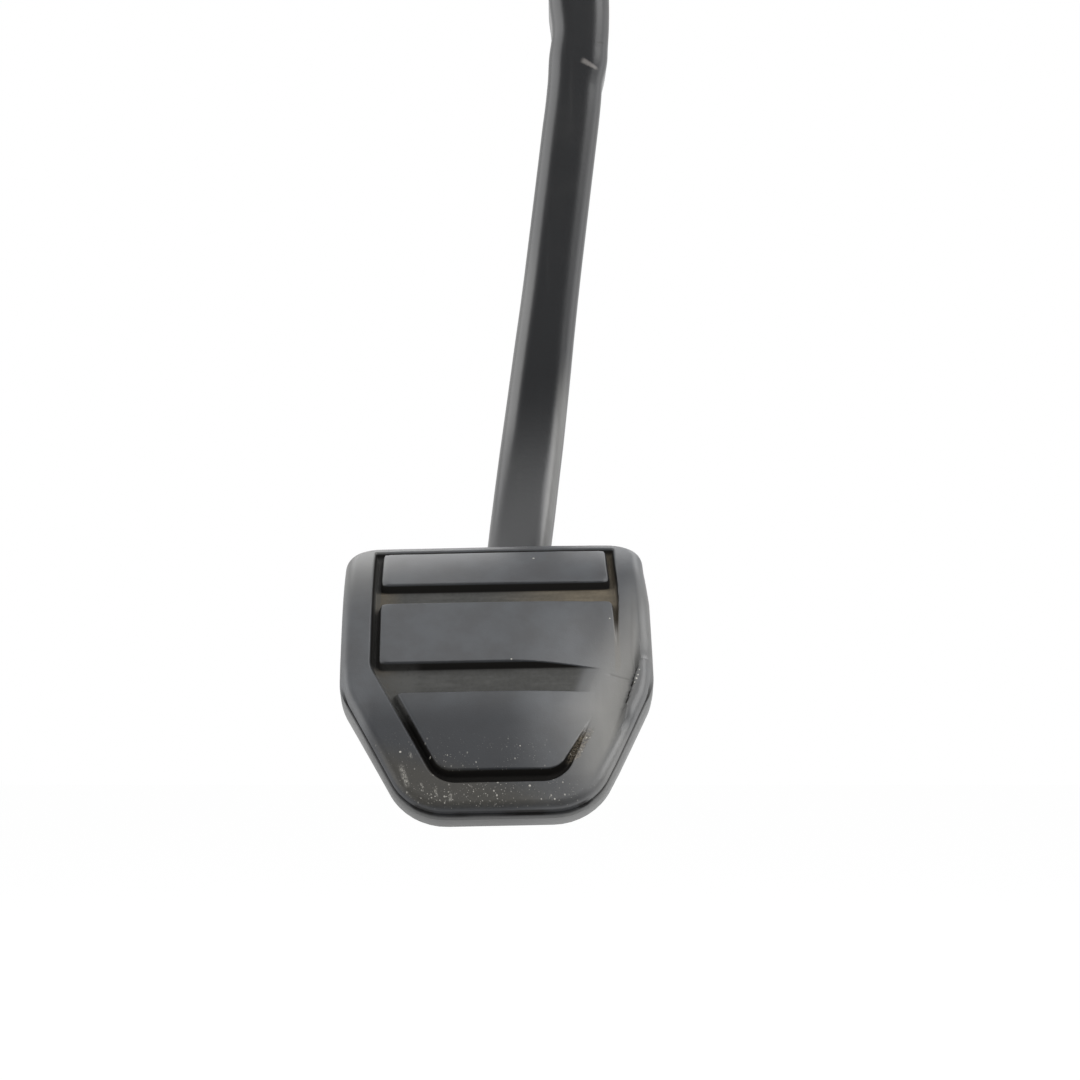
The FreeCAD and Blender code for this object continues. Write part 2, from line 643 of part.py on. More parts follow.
def coil_edges(radius, first_angle, length, half_turns, start=Vector()):
    """A coil about the X axis, as half turns that are flat arcs and meet smoothly."""
    step = length / half_turns
    bulge = math.hypot(radius, step / 2)

    def place(half_turn, reach):
        angle = first_angle + math.pi * half_turn
        return start + Vector(step * half_turn, reach * math.cos(angle), reach * math.sin(angle))

    return [Part.Arc(place(index, radius), place(index + 0.5, bulge), place(index + 1, radius)).toShape()
            for index in range(half_turns)]


def sweep(path_edges, wire_radius):
    """A round wire along a smooth path."""
    path = Part.Wire(path_edges)
    start = path.Edges[0].valueAt(path.Edges[0].FirstParameter)
    toward = path.Edges[0].tangentAt(path.Edges[0].FirstParameter)
    section = Part.Wire([Part.makeCircle(wire_radius, start, toward)])
    return path.makePipeShell([section], True, True)


def feature_of(label, shape, placement=None):
    """An object that holds a worked-out shape."""
    feature = document.addObject("Part::Feature", label)
    feature.Label = label
    feature.Shape = shape
    if placement is not None:
        feature.Placement = placement
    return feature


def build_switch_spring():
    """The small spring behind the plunger, seated on the chamber's floor."""
    wire = size("light_wire") / 2
    start = -size("chamber_back") + wire
    end = -size("plunger_back") - wire
    half_turns = round(2 * size("light_turns"))
    coil = sweep(coil_edges(size("light_coil"), 0.0, end - start, half_turns), wire)
    place = Placement(Vector(0, start - size("crossbar_front"), size("switch_rise")), ALONG_Y)
    return feature_of("switch_spring", coil, place)


# Pivot
PIVOT_PLACE = ("0", "-pivot_back", "pivot_rise")


def draw_hexagon(sketch, across_flats):
    """A hexagon about the sketch's origin."""
    draw_polygon(sketch, [
        (f"{across_flats} / sqrt(3) * cos({60 * index})", f"{across_flats} / sqrt(3) * sin({60 * index})")
        for index in range(6)
    ])


def build_pivot_bolt():
    """The flanged bolt that the pedal swings on."""
    body = turned("pivot_bolt", (
        ("-bolt_seat_outer", "0"),
        ("-bolt_seat_outer", "bolt_flange"),
        ("-cheek_outer", "bolt_flange"),
        ("-cheek_outer", "bolt_radius"),
        ("bolt_tip - bolt_end / 2", "bolt_radius"),
        ("bolt_tip", "bolt_radius - bolt_end / 2"),
        ("bolt_tip", "0"),
    ), PIVOT_PLACE)
    head = new_sketch(body, "YZ_Plane", "bolt_head", "-bolt_seat_outer")
    draw_hexagon(head, "hex_across")
    extrude(body, head, "hex_height", back=True)
    return body


def build_pivot_nut():
    """The flanged nut on the bolt's other end."""
    body = turned("pivot_nut", (
        ("cheek_outer", "bolt_radius"),
        ("cheek_outer", "bolt_flange"),
        ("bolt_seat_outer", "bolt_flange"),
        ("bolt_seat_outer", "bolt_radius"),
    ), PIVOT_PLACE)
    hexagon = new_sketch(body, "YZ_Plane", "nut_hexagon", "bolt_seat_outer")
    draw_hexagon(hexagon, "hex_across")
    draw_circle(hexagon, "0", "0", "bolt_radius")
    extrude(body, hexagon, "nut_height")
    return body


def build_pivot_sleeve():
    """The steel sleeve that the bolt clamps between the side plates."""
    return turned("pivot_sleeve", (
        ("-cheek_inner", "bolt_bore"),
        ("-cheek_inner", "sleeve_radius"),
        ("cheek_inner", "sleeve_radius"),
        ("cheek_inner", "bolt_bore"),
    ), PIVOT_PLACE)


def build_pivot_tube():
    """The tube at the top of the pedal arm."""
    return turned("pivot_tube", (
        ("-tube_half_length", "tube_bore"),
        ("-tube_half_length", "tube_radius"),
        ("tube_half_length", "tube_radius"),
        ("tube_half_length", "tube_bore"),
    ), PIVOT_PLACE)


def build_bush(label, right):
    """One flanged nylon bush in the pivot tube."""
    sign = "" if right else "-"
    return turned(label, (
        (f"{sign}(tube_half_length - bush_length)", "bush_bore"),
        (f"{sign}(tube_half_length - bush_length)", "tube_bore"),
        (f"{sign}tube_half_length", "tube_bore"),
        (f"{sign}tube_half_length", "tube_radius"),
        (f"{sign}(tube_half_length + bush_flange)", "tube_radius"),
        (f"{sign}(tube_half_length + bush_flange)", "bush_bore"),
    ), PIVOT_PLACE)


def rounded_path(points, radius):
    """Straight runs through the points, joined by tangent arcs of one radius."""
    edges = []
    start = points[0]
    for before, corner, after in zip(points, points[1:], points[2:]):
        arrive = (corner - before).normalize()
        leave = (after - corner).normalize()
        turn = arrive.getAngle(leave)
        trim = radius * math.tan(turn / 2)
        first = corner - arrive * trim
        last = corner + leave * trim
        inward = (leave - arrive).normalize()
        centre = corner + inward * (radius / math.cos(turn / 2))
        middle = centre + (corner - centre).normalize() * radius
        edges.append(Part.makeLine(start, first))
        edges.append(Part.Arc(first, middle, last).toShape())
        start = last
    edges.append(Part.makeLine(start, points[-1]))
    return edges


def build_return_spring():
    """The torsion spring round the pivot tube.

    One leg hooks across the front of the arm and rises to the coil. The other leaves the coil at
    the same angle, rises in front of it and passes through a hole in the right side plate.
    """
    pivot = Vector(0, -size("pivot_back"), size("pivot_rise"))
    coil = size("spring_coil")
    touch = math.radians(size("spring_touch"))
    reach = size("spring_hook_reach")
    drop = size("spring_hook_drop")
    bend = size("spring_bend")
    inner = pivot + Vector(size("spring_inner_end"), 0, 0)
    outer = pivot + Vector(size("spring_outer_end"), 0, 0)
    rim = Vector(0, coil * math.cos(touch), coil * math.sin(touch))

    hook_corner = inner + Vector(0, reach, -drop)
    hook_end = Vector(-size("upper_width") / 2, hook_corner.y, hook_corner.z)
    anchor_corner = outer + Vector(0, size("anchor_ahead"), size("anchor_above"))
    anchor_end = Vector(size("cheek_outer + spring_wire"), anchor_corner.y, anchor_corner.z)
    half_turns = 2 * round(size("spring_turns"))
    path = rounded_path([hook_end, hook_corner, inner + rim], bend)
    path += coil_edges(coil, touch, outer.x - inner.x, half_turns, inner)
    path += rounded_path([outer + rim, anchor_corner, anchor_end], bend)
    return feature_of("return_spring", sweep(path, size("spring_wire / 2")))


# Pedal arm, in two pieces that are butted at the joggle. The lower one's own origin is the joggle.
def joggle_place(turn):
    """A place at the joggle, turned about the front-to-back axis."""
    rotation = Rotation(Vector(0, 1, 0), turn)
    return Placement(Vector(0, -size("pivot_back"), -size("joggle_drop")), rotation)


def joggle_side(name, above):
    """Everything above or below the plane that halves the joggle."""
    low = 0.0 if above else -SURE_REACH
    corner = Vector(-SURE_REACH / 2, -SURE_REACH / 2, low)
    block = Part.makeBox(SURE_REACH, SURE_REACH, SURE_REACH, corner)
    return feature_of(name, block, joggle_place(size("arm_lean / 2")))


def straight_run(body, name, width, inset, start, length, run, back):
    """One even stretch of the arm, at one inset from its outside."""
    sketch = new_sketch(body, "XY_Plane", name, start)
    draw_rounded_box(sketch, f"{width} - 2 * {inset}", f"arm_depth - 2 * {inset}", f"arm_corner - {inset}")
    run(body, sketch, length, back=back)


def build_upper_arm():
    """The upright upper arm, seated on the pivot tube and the push rod collar."""
    body = new_body("upper_arm_blank", ("0", "-pivot_back", "-(joggle_drop + joggle_lap)"))
    length = "joggle_lap + joggle_drop + pivot_rise"
    straight_run(body, "upper_outside", "upper_width", "0", "0", length, extrude, back=False)
    straight_run(body, "upper_inside", "upper_width", "arm_wall", "0", length, cut_in, back=True)
    return seated("upper_arm", body, [
        pin_tool("tube_seat", "tube_radius", "-pivot_back", "pivot_rise"),
        pin_tool("eye_seat", "eye_radius", "-pivot_back", "0"),
        joggle_side("below_joggle", above=False),
    ])


def build_lower_arm():
    """The leaning lower arm, bent towards the driver and seated on the pad plate."""
    body = new_body("lower_arm_blank", ("0", "-pivot_back", "-joggle_drop"),
                    Rotation(Vector(0, 1, 0), size("arm_lean")))
    bind(body, "Placement.Rotation.Angle", "arm_lean")
    add_lower_runs(body, "outside", "0", extrude, "AdditivePipe")
    add_lower_runs(body, "inside", "arm_wall", cut_in, "SubtractivePipe")
    return seated("lower_arm", body, [
        joggle_side("above_joggle", above=True),
        feature_of("pad_seat", pad_front_space(), pad_placement()),
    ])


def seated(label, body, tools):
    """A body with the space of its seats cut away."""
    seats = document.addObject("Part::MultiFuse", label + "_seats")
    seats.Shapes = tools
    arm = document.addObject("Part::Cut", label)
    arm.Label = label
    arm.Base = body
    arm.Tool = seats
    document.recompute()
    return arm


def add_lower_runs(body, layer, inset, run, pipe_kind):
    """The lower arm's even run, its bend and its straight tail, at one inset from the outside."""
    inward = run is cut_in
    straight_run(body, f"lower_{layer}", "lower_width", inset, "joggle_lap",
                 "straight_length + joggle_lap", run, back=not inward)

    flare_top = new_sketch(body, "XY_Plane", f"flare_top_{layer}", "-straight_length")
    draw_rounded_box(flare_top, f"lower_width - 2 * {inset}", f"arm_depth - 2 * {inset}",
                     f"arm_corner - {inset}")
    bend_start = bend_section(body, f"bend_start_{layer}", "0", "arm_depth", inset)
    bend_end = bend_section(body, f"bend_end_{layer}", "bend_angle", "arm_end_depth", inset)
    paths = (flare_path(body, f"flare_path_{layer}"), bend_path(body, f"bend_path_{layer}"))
    for path, first, last in zip(paths, (flare_top, bend_start), (bend_start, bend_end)):
        pipe = body.newObject(f"PartDesign::{pipe_kind}", f"{path.Name}_{layer}")
        pipe.Profile = first
        pipe.Sections = [(last, [""])]
        pipe.Spine = (path, ["Edge1"])
        pipe.Transformation = "Multisection"
        document.recompute()

    tail = bend_section(body, f"tail_{layer}", "bend_angle", "arm_end_depth", inset)
    run(body, tail, "arm_tail", back=not inward)


def bend_section(body, name, angle, depth, inset):
    """One cross-section of the arm, square to the bend at an angle round it."""
    across = f"-bend_radius * (1 - cos({angle}))"
    drop = f"-(bend_start + bend_radius * sin({angle}))"
    tilt = None if angle == "0" else (Vector(1, 0, 0), f"-{angle}")
    sketch = new_sketch(body, "XY_Plane", name, shift=("0", across, drop), tilt=tilt)
    draw_rounded_box(sketch, f"flare_width - 2 * {inset}", f"{depth} - 2 * {inset}", f"arm_corner - {inset}")
    return sketch


def flare_path(body, name):
    """The short straight run where the arm widens."""
    sketch = new_sketch(body, "YZ_Plane", name)
    start = Vector(0, -size("straight_length"), 0)
    end = Vector(0, -size("bend_start"), 0)
    line = sketch.addGeometry(Part.LineSegment(start, end))
    place_point(sketch, line, 1, "0", "-straight_length")
    place_point(sketch, line, 2, "0", "-bend_start")
    return sketch


def bend_path(body, name):
    """The arm's bend towards the driver."""
    sketch = new_sketch(body, "YZ_Plane", name)
    centre = Vector(-size("bend_radius"), -size("bend_start"), 0)
    circle = Part.Circle(centre, Vector(0, 0, 1), size("bend_radius"))
    arc = sketch.addGeometry(Part.ArcOfCircle(circle, -math.radians(size("bend_angle")), 0))
    place_point(sketch, arc, 3, "-bend_radius", "-bend_start")
    constrain(sketch, "Radius", arc, to="bend_radius")
    for point, angle in ((1, "bend_angle"), (2, "0")):
        constrain(sketch, "DistanceY", -1, 1, arc, point, to=f"-(bend_start + bend_radius * sin({angle}))")
    return sketch


def pin_tool(name, radius, forward, up):
    """A cylinder along X, long enough to cut anything it crosses."""
    tool = document.addObject("Part::Cylinder", name)
    bind(tool, "Radius", radius)
    tool.Height = SURE_REACH
    tool.Placement = Placement(Vector(-SURE_REACH / 2, 0, 0), Rotation(Vector(0, 1, 0), 90))
    bind(tool, "Placement.Base.y", forward)
    bind(tool, "Placement.Base.z", up)
    return tool


def build_pushrod_collar():
    """The steel collar welded through the arm for the push rod's pin."""
    return turned("pushrod_collar", (
        ("-eye_half_length", "eye_bush_radius"),
        ("-eye_half_length", "eye_radius"),
        ("eye_half_length", "eye_radius"),
        ("eye_half_length", "eye_bush_radius"),
    ), ("0", "-pivot_back", "0"))


def build_pushrod_bush():
    """The nylon bush in the push rod collar."""
    return turned("pushrod_bush", (
        ("-eye_half_length", "eye_bore"),
        ("-eye_half_length", "eye_bush_radius"),
        ("eye_half_length", "eye_bush_radius"),
        ("eye_half_length", "eye_bore"),
    ), ("0", "-pivot_back", "0"))


def build_striker_tab():
    """The square tab on the arm's rear face, in line with the switch."""
    body = new_body("striker_tab", ("0", "-arm_rear", "switch_rise"))
    outline = new_sketch(body, "XZ_Plane", "striker_outline")
    draw_rounded_box(outline, "2 * striker_half", "2 * striker_half", "striker_thick")
    extrude(body, outline, "striker_thick")
    hole = new_sketch(body, "XZ_Plane", "striker_hole")
    draw_circle(hole, "0", "0", "button_stem")
    cut_through(body, hole)
    return body


def build_striker_button():
    """The plastic button that pushes the switch's plunger."""
    return turned("striker_button", (
        ("striker_face", "0"),
        ("striker_face", "button_radius - button_thick / 2"),
        ("striker_face + button_thick / 2", "button_radius"),
        ("striker_face + button_thick", "button_radius"),
        ("striker_face + button_thick", "button_stem"),
        ("stop_stand", "button_stem"),
        ("stop_stand", "0"),
    ), SWITCH_PLACE, ALONG_Y)


# Pad. Its own frame has the crown of the face at zero, +X across, +Y into the pad and +Z up the
# face. The face is two arcs that meet at the crown. A place on it is given by its distance across
# and its distance down the face from the upper edge.
def pad_placement():
    """Where the pad's own frame lies, from the end of the arm's bend."""
    turn = math.radians(size("bend_angle"))
    radius = size("bend_radius")
    reach = Vector(0, -radius * (1 - math.cos(turn)), -(size("bend_start") + radius * math.sin(turn)))
    bend_end = joggle_place(size("arm_lean")).multVec(reach)
    crown = bend_end + Vector(size("pad_aside"), -size("pad_ahead"), size("pad_lift"))
    tilt = Rotation(Vector(1, 0, 0), -size("pad_tilt"))
    roll = Rotation(Vector(0, 1, 0), -size("pad_roll"))
    return Placement(crown, tilt.multiply(roll))


def pad_halves():
    """The two arcs of the face: which way they run, their radius and their angle at the edge."""
    above = size("crown_length")
    below = size("pad_length") - above
    upper = size("upper_bend")
    lower = size("lower_bend")
    return ((1, upper, above / upper), (-1, lower, below / lower))


def layer_between(half, outer_depth, inner_depth, extra_angle):
    """The space between two depths below one half of the face, from side to side."""
    way, radius, edge_angle = half
    span = edge_angle + extra_angle

    def on_arc(depth, angle):
        reach = radius - depth
        return Vector(-SURE_REACH / 2, radius - reach * math.cos(angle), way * reach * math.sin(angle))

    def arc(depth, first, last):
        return Part.Arc(on_arc(depth, first), on_arc(depth, (first + last) / 2), on_arc(depth, last)).toShape()

    edges = [
        arc(outer_depth, 0, span),
        Part.makeLine(on_arc(outer_depth, span), on_arc(inner_depth, span)),
        arc(inner_depth, span, 0),
        Part.makeLine(on_arc(inner_depth, 0), on_arc(outer_depth, 0)),
    ]
    return Part.Face(Part.Wire(edges)).extrude(Vector(SURE_REACH, 0, 0))


def rounded_face(corners, radii):
    """A flat face with straight sides and round corners."""
    count = len(corners)
    starts = []
    ends = []
    arcs = []
    for index, (corner, radius) in enumerate(zip(corners, radii)):
        before = (corners[index - 1] - corner).normalize()
        after = (corners[(index + 1) % count] - corner).normalize()
        half_turn = before.getAngle(after) / 2
        trim = radius / math.tan(half_turn)
        centre = corner + (before + after).normalize() * (radius / math.sin(half_turn))
        middle = centre + (corner - centre).normalize() * radius
        starts.append(corner + before * trim)
        ends.append(corner + after * trim)
        arcs.append(Part.Arc(starts[-1], middle, ends[-1]).toShape() if radius else None)
    edges = []
    for index in range(count):
        if arcs[index] is not None:
            edges.append(arcs[index])
        edges.append(Part.makeLine(ends[index], starts[(index + 1) % count]))
    return Part.Face(Part.Wire(edges))


def pad_region(outline, radii, outer_depth, inner_depth):
    """A layer of the pad inside an outline of (across, down the face) corners."""
    crown = size("crown_length")
    spare_angle = 0.2
    least_volume = 0.001
    pieces = []
    for half in pad_halves():
        way, radius, edge_angle = half
        into = Vector(0, math.cos(edge_angle), -way * math.sin(edge_angle))
        outward = Vector(0, math.sin(edge_angle), way * math.cos(edge_angle))

        def on_plan(across, down):
            from_crown = way * (crown - down)
            flat = from_crown * math.cos(edge_angle)
            if from_crown > 0:
                turned_by = math.sin(from_crown / radius - edge_angle)
                flat = radius * (math.sin(edge_angle) + turned_by)
            return Vector(across, 0, 0) + outward * flat

        face = rounded_face([on_plan(across, down) for across, down in outline], radii)
        face.translate(into * (-SURE_REACH / 2))
        prism = face.extrude(into * SURE_REACH)
        layer = layer_between(half, outer_depth, inner_depth, spare_angle)
        piece = layer.common(prism)
        if piece.Volume > least_volume:
            pieces.append(piece)
    whole = pieces[0]
    for piece in pieces[1:]:
        whole = whole.fuse(piece)
    return whole.removeSplitter()


def pad_front_space():
    """Everything in front of the steel plate's back, where the arm has to stop."""
    back = size("cover_face + pad_steel")
    return_angle = 0.3
    upper, lower = pad_halves()
    near_crown = (upper[0], upper[1], 0.0)
    space = layer_between(lower, -2 * size("arm_tail"), back, return_angle)
    return space.fuse(layer_between(near_crown, -2 * size("arm_tail"), back, return_angle))


def pad_outline(side, slope, top, bottom):
    """The pad's eight corners, moved in from the wall by four insets."""
    slant = math.radians(size("chamfer_angle"))
    half = size("pad_half_width") - side
    start = size("chamfer_start")
    start -= slope / math.sin(slant) - side / math.tan(slant)
    end = size("pad_length") - bottom
    foot = half - (end - start) * math.tan(slant)
    right = [(half, top), (half, start), (foot, end)]
    return right + [(-across, down) for across, down in reversed(right)]


def even_outline(inset):
    """The pad's outline with one inset all round."""
    return pad_outline(inset, inset, inset, inset)


def corner_radii(inset):
    """Corner radii that follow the wall at an inset."""
    smallest = 0.5
    top, side, bottom = (max(size(name) - inset, smallest)
                         for name in ("top_corner", "side_corner", "bottom_corner"))
    return [top, side, bottom, bottom, side, top]


def build_pad_plate():
    """The curved steel plate inside the rubber cover."""
    inset = size("cover_wall")
    front = size("cover_face")
    plate = pad_region(even_outline(inset), corner_radii(inset), front, front + size("pad_steel"))
    return feature_of("pad_plate", plate, pad_placement())


def block_between(first, last):
    """One raised block of the pad, from one distance down the face to another."""
    groove = size("side_groove")
    slant = math.radians(size("chamfer_angle"))
    outline = pad_outline(size("rim_side") + groove, size("rim_slope") + groove, 0.0, 0.0)
    half, corner = outline[1]
    right = [(half_at(half, corner, slant, first), first)]
    if first < corner < last:
        right.append((half, corner))
    right.append((half_at(half, corner, slant, last), last))
    corners = right + [(-across, down) for across, down in reversed(right)]
    return pad_region(corners, [size("groove_corner")] * len(corners), 0.0, size("groove_depth"))


def half_at(half, corner, slant, down):
    """Half of a block's width at a distance down the face."""
    return half - max(0.0, down - corner) * math.tan(slant)


def build_pad_rubber():
    """The rubber cover: rim, three blocks, wall and the lip that holds it on the plate."""
    depth = size("pad_depth")
    bead = size("bead_proud")
    groove = size("groove_depth")
    rim = pad_outline(size("rim_side"), size("rim_slope"), size("rim_top"), size("rim_bottom"))
    wall = pad_region(even_outline(0.0), corner_radii(0.0), 0.0, depth)
    wall = wall.makeFillet(size("rim_edge"), face_boundary(wall))
    lip = pad_region(even_outline(-bead), corner_radii(-bead), size("bead_depth"), depth)
    cover = wall.fuse(lip)
    sharp = size("groove_corner")
    low = size("rim_corner")
    cover = cover.cut(pad_region(rim, [sharp, sharp, low, low, sharp, sharp], -CLEAR, groove))
    down = size("rim_top + top_groove")
    for block, gap in (("first_block", "first_gap"), ("second_block", "second_gap"), ("third_block", None)):
        cover = cover.fuse(block_between(down, down + size(block)))
        down += size(block) + (size(gap) if gap else 0.0)
    inset = size("cover_wall")
    front = size("cover_face")
    back = front + size("pad_steel")
    cover = cover.cut(pad_region(even_outline(inset), corner_radii(inset), front, back))
    inset += size("lip_width")
    cover = cover.cut(pad_region(even_outline(inset), corner_radii(inset), front, depth + CLEAR))
    return feature_of("pad_rubber", cover, pad_placement())


def face_boundary(solid):
    """The edges where the pad's face meets its wall."""
    chosen = []
    for edge in solid.Edges:
        middle = edge.valueAt((edge.FirstParameter + edge.LastParameter) / 2)
        ends = (edge.valueAt(edge.FirstParameter), middle, edge.valueAt(edge.LastParameter))
        along_crown = all(abs(point.z) < NEAR for point in ends)
        if not along_crown and all(abs(depth_below_face(point)) < NEAR for point in ends):
            chosen.append(edge)
    return chosen


def depth_below_face(point):
    """How deep a point in the pad's own frame lies below the face."""
    radius = size("upper_bend") if point.z > 0 else size("lower_bend")
    return radius - math.hypot(radius - point.y, point.z)


NODES = [
    build_bulkhead_plate(),
    build_cheek("left_cheek", right=False),
    build_cheek("right_cheek", right=True),
    build_top_plate(),
    build_stop_crossbar(),
    build_stop_buffer(),
    build_switch_collar(),
    build_switch_housing(),
    build_switch_terminals(),
    build_switch_spring(),
    build_switch_plunger(),
    build_pivot_bolt(),
    build_pivot_nut(),
    build_pivot_sleeve(),
    build_return_spring(),
    build_pivot_tube(),
    build_bush("left_bush", right=False),
    build_bush("right_bush", right=True),
    build_upper_arm(),
    build_lower_arm(),
    build_pushrod_collar(),
    build_pushrod_bush(),
    build_striker_tab(),
    build_striker_button(),
    build_pad_plate(),
    build_pad_rubber(),
]

document.recompute()
for item in document.Objects:
    if "Invalid" in item.State or "Error" in item.State:
        raise RuntimeError(f"{item.Label}: {item.State}")
os.makedirs("parts", exist_ok=True)
for node in NODES:
    if node.Shape.isNull() or not node.Shape.isValid():
        raise RuntimeError(f"{node.Label}: its shape is not valid")
for node in NODES:
    node.Shape.exportStep(f"parts/{node.Label}.step")
    print(f"{node.Label}: {len(node.Shape.Solids)} solid(s), {node.Shape.Volume / 1000:.2f} cm3")
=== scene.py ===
"""Looks of a hanging brake pedal: worn rubber pad, pressed arm, springs, welds, finishes, light and camera.

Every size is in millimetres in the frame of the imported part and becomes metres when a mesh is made.
"""

import logging
import math
from dataclasses import dataclass, field
from enum import Enum
from typing import Any, ClassVar, Mapping, Optional, Sequence, Union

import bmesh
import bpy
import numpy as np
from mathutils import Euler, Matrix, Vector


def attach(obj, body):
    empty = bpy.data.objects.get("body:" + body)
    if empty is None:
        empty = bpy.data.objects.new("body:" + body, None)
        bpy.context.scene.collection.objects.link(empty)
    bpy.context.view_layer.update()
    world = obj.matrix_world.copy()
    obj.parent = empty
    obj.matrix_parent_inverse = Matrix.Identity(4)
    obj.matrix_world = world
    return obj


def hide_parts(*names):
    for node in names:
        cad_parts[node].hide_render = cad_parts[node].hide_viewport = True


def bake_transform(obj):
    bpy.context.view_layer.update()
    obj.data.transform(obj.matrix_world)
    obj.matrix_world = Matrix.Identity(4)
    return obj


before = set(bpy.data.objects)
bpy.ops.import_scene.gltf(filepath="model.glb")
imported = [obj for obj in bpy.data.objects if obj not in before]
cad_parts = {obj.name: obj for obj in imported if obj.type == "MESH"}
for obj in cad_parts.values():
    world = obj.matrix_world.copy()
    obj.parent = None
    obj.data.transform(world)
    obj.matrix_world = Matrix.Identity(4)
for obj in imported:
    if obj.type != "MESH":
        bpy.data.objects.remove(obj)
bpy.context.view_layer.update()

MM = 0.001
log = logging.getLogger("brake_pedal")

Pair = tuple[float, float]
Point = tuple[float, float, float]
Band = tuple[float, float, float, float]
Colour = tuple[float, float, float, float]


# Shader maths


@dataclass(frozen=True)
class Mottle:
    """A soft noise: features per unit, finer layers, how strong they are, and each axis's stretch."""

    scale: float
    detail: float
    roughness: float
    stretch: Point = (1.0, 1.0, 1.0)


class Field:
    """One output of a node graph. Python's operators on it add Math nodes."""

    def __init__(self, graph: "Graph", socket: Optional[bpy.types.NodeSocket]) -> None:
        """Wrap a socket.

        Args:
            graph: the graph that the socket belongs to.
            socket: the output socket, or nothing for a node without outputs.
        """
        self.graph = graph
        self.socket = socket

    def maths(self, operation: str, *others: "Value") -> "Field":
        """Add one Math node.

        Args:
            operation: the node's operation.
            others: the node's further inputs, after this one.

        Returns:
            The node's result.
        """
        sockets = dict(enumerate((self, *others)))
        return self.graph.add("ShaderNodeMath", {"operation": operation}, sockets)

    def __add__(self, other: "Value") -> "Field":
        """Sum."""
        return self.maths("ADD", other)

    def __sub__(self, other: "Value") -> "Field":
        """Difference."""
        return self.maths("SUBTRACT", other)

    def __mul__(self, other: "Value") -> "Field":
        """Product."""
        return self.maths("MULTIPLY", other)

    def __truediv__(self, other: "Value") -> "Field":
        """Quotient."""
        return self.maths("DIVIDE", other)

    def __pow__(self, other: "Value") -> "Field":
        """Power."""
        return self.maths("POWER", other)

    def __radd__(self, other: float) -> "Field":
        """Sum with a number on the left."""
        return self.maths("ADD", other)

    def __rmul__(self, other: float) -> "Field":
        """Product with a number on the left."""
        return self.maths("MULTIPLY", other)

    def __rsub__(self, other: float) -> "Field":
        """Difference from a number on the left."""
        return self.graph.add("ShaderNodeMath", {"operation": "SUBTRACT"}, {0: other, 1: self})

    def __neg__(self) -> "Field":
        """Negative."""
        return self * -1.0

    def __abs__(self) -> "Field":
        """Size without sign."""
        return self.maths("ABSOLUTE")

    def at_most(self, other: "Value") -> "Field":
        """The smaller of the two."""
        return self.maths("MINIMUM", other)

    def at_least(self, other: "Value") -> "Field":
        """The larger of the two."""
        return self.maths("MAXIMUM", other)

    def rise(self, low: float, high: float) -> "Field":
        """A smooth step.

        Args:
            low: where the step leaves 0, which may be above high for a fall.
            high: where it reaches 1.

        Returns:
            0 before low, 1 after high.
        """
        if low > high:
            return 1.0 - self.rise(high, low)
        settings = {"interpolation_type": "SMOOTHSTEP"}
        return self.graph.add("ShaderNodeMapRange", settings, {0: self, 1: low, 2: high, 3: 0.0, 4: 1.0})

    def band(self, places: Band) -> "Field":
        """A soft band.

        Args:
            places: where it leaves 0, reaches 1, leaves 1 and is back at 0, from low to high.

        Returns:
            1 inside the band, 0 outside it.
        """
        start, full, waning, end = places
        return self.rise(start, full) * self.rise(end, waning)


Value = Union[Field, float]


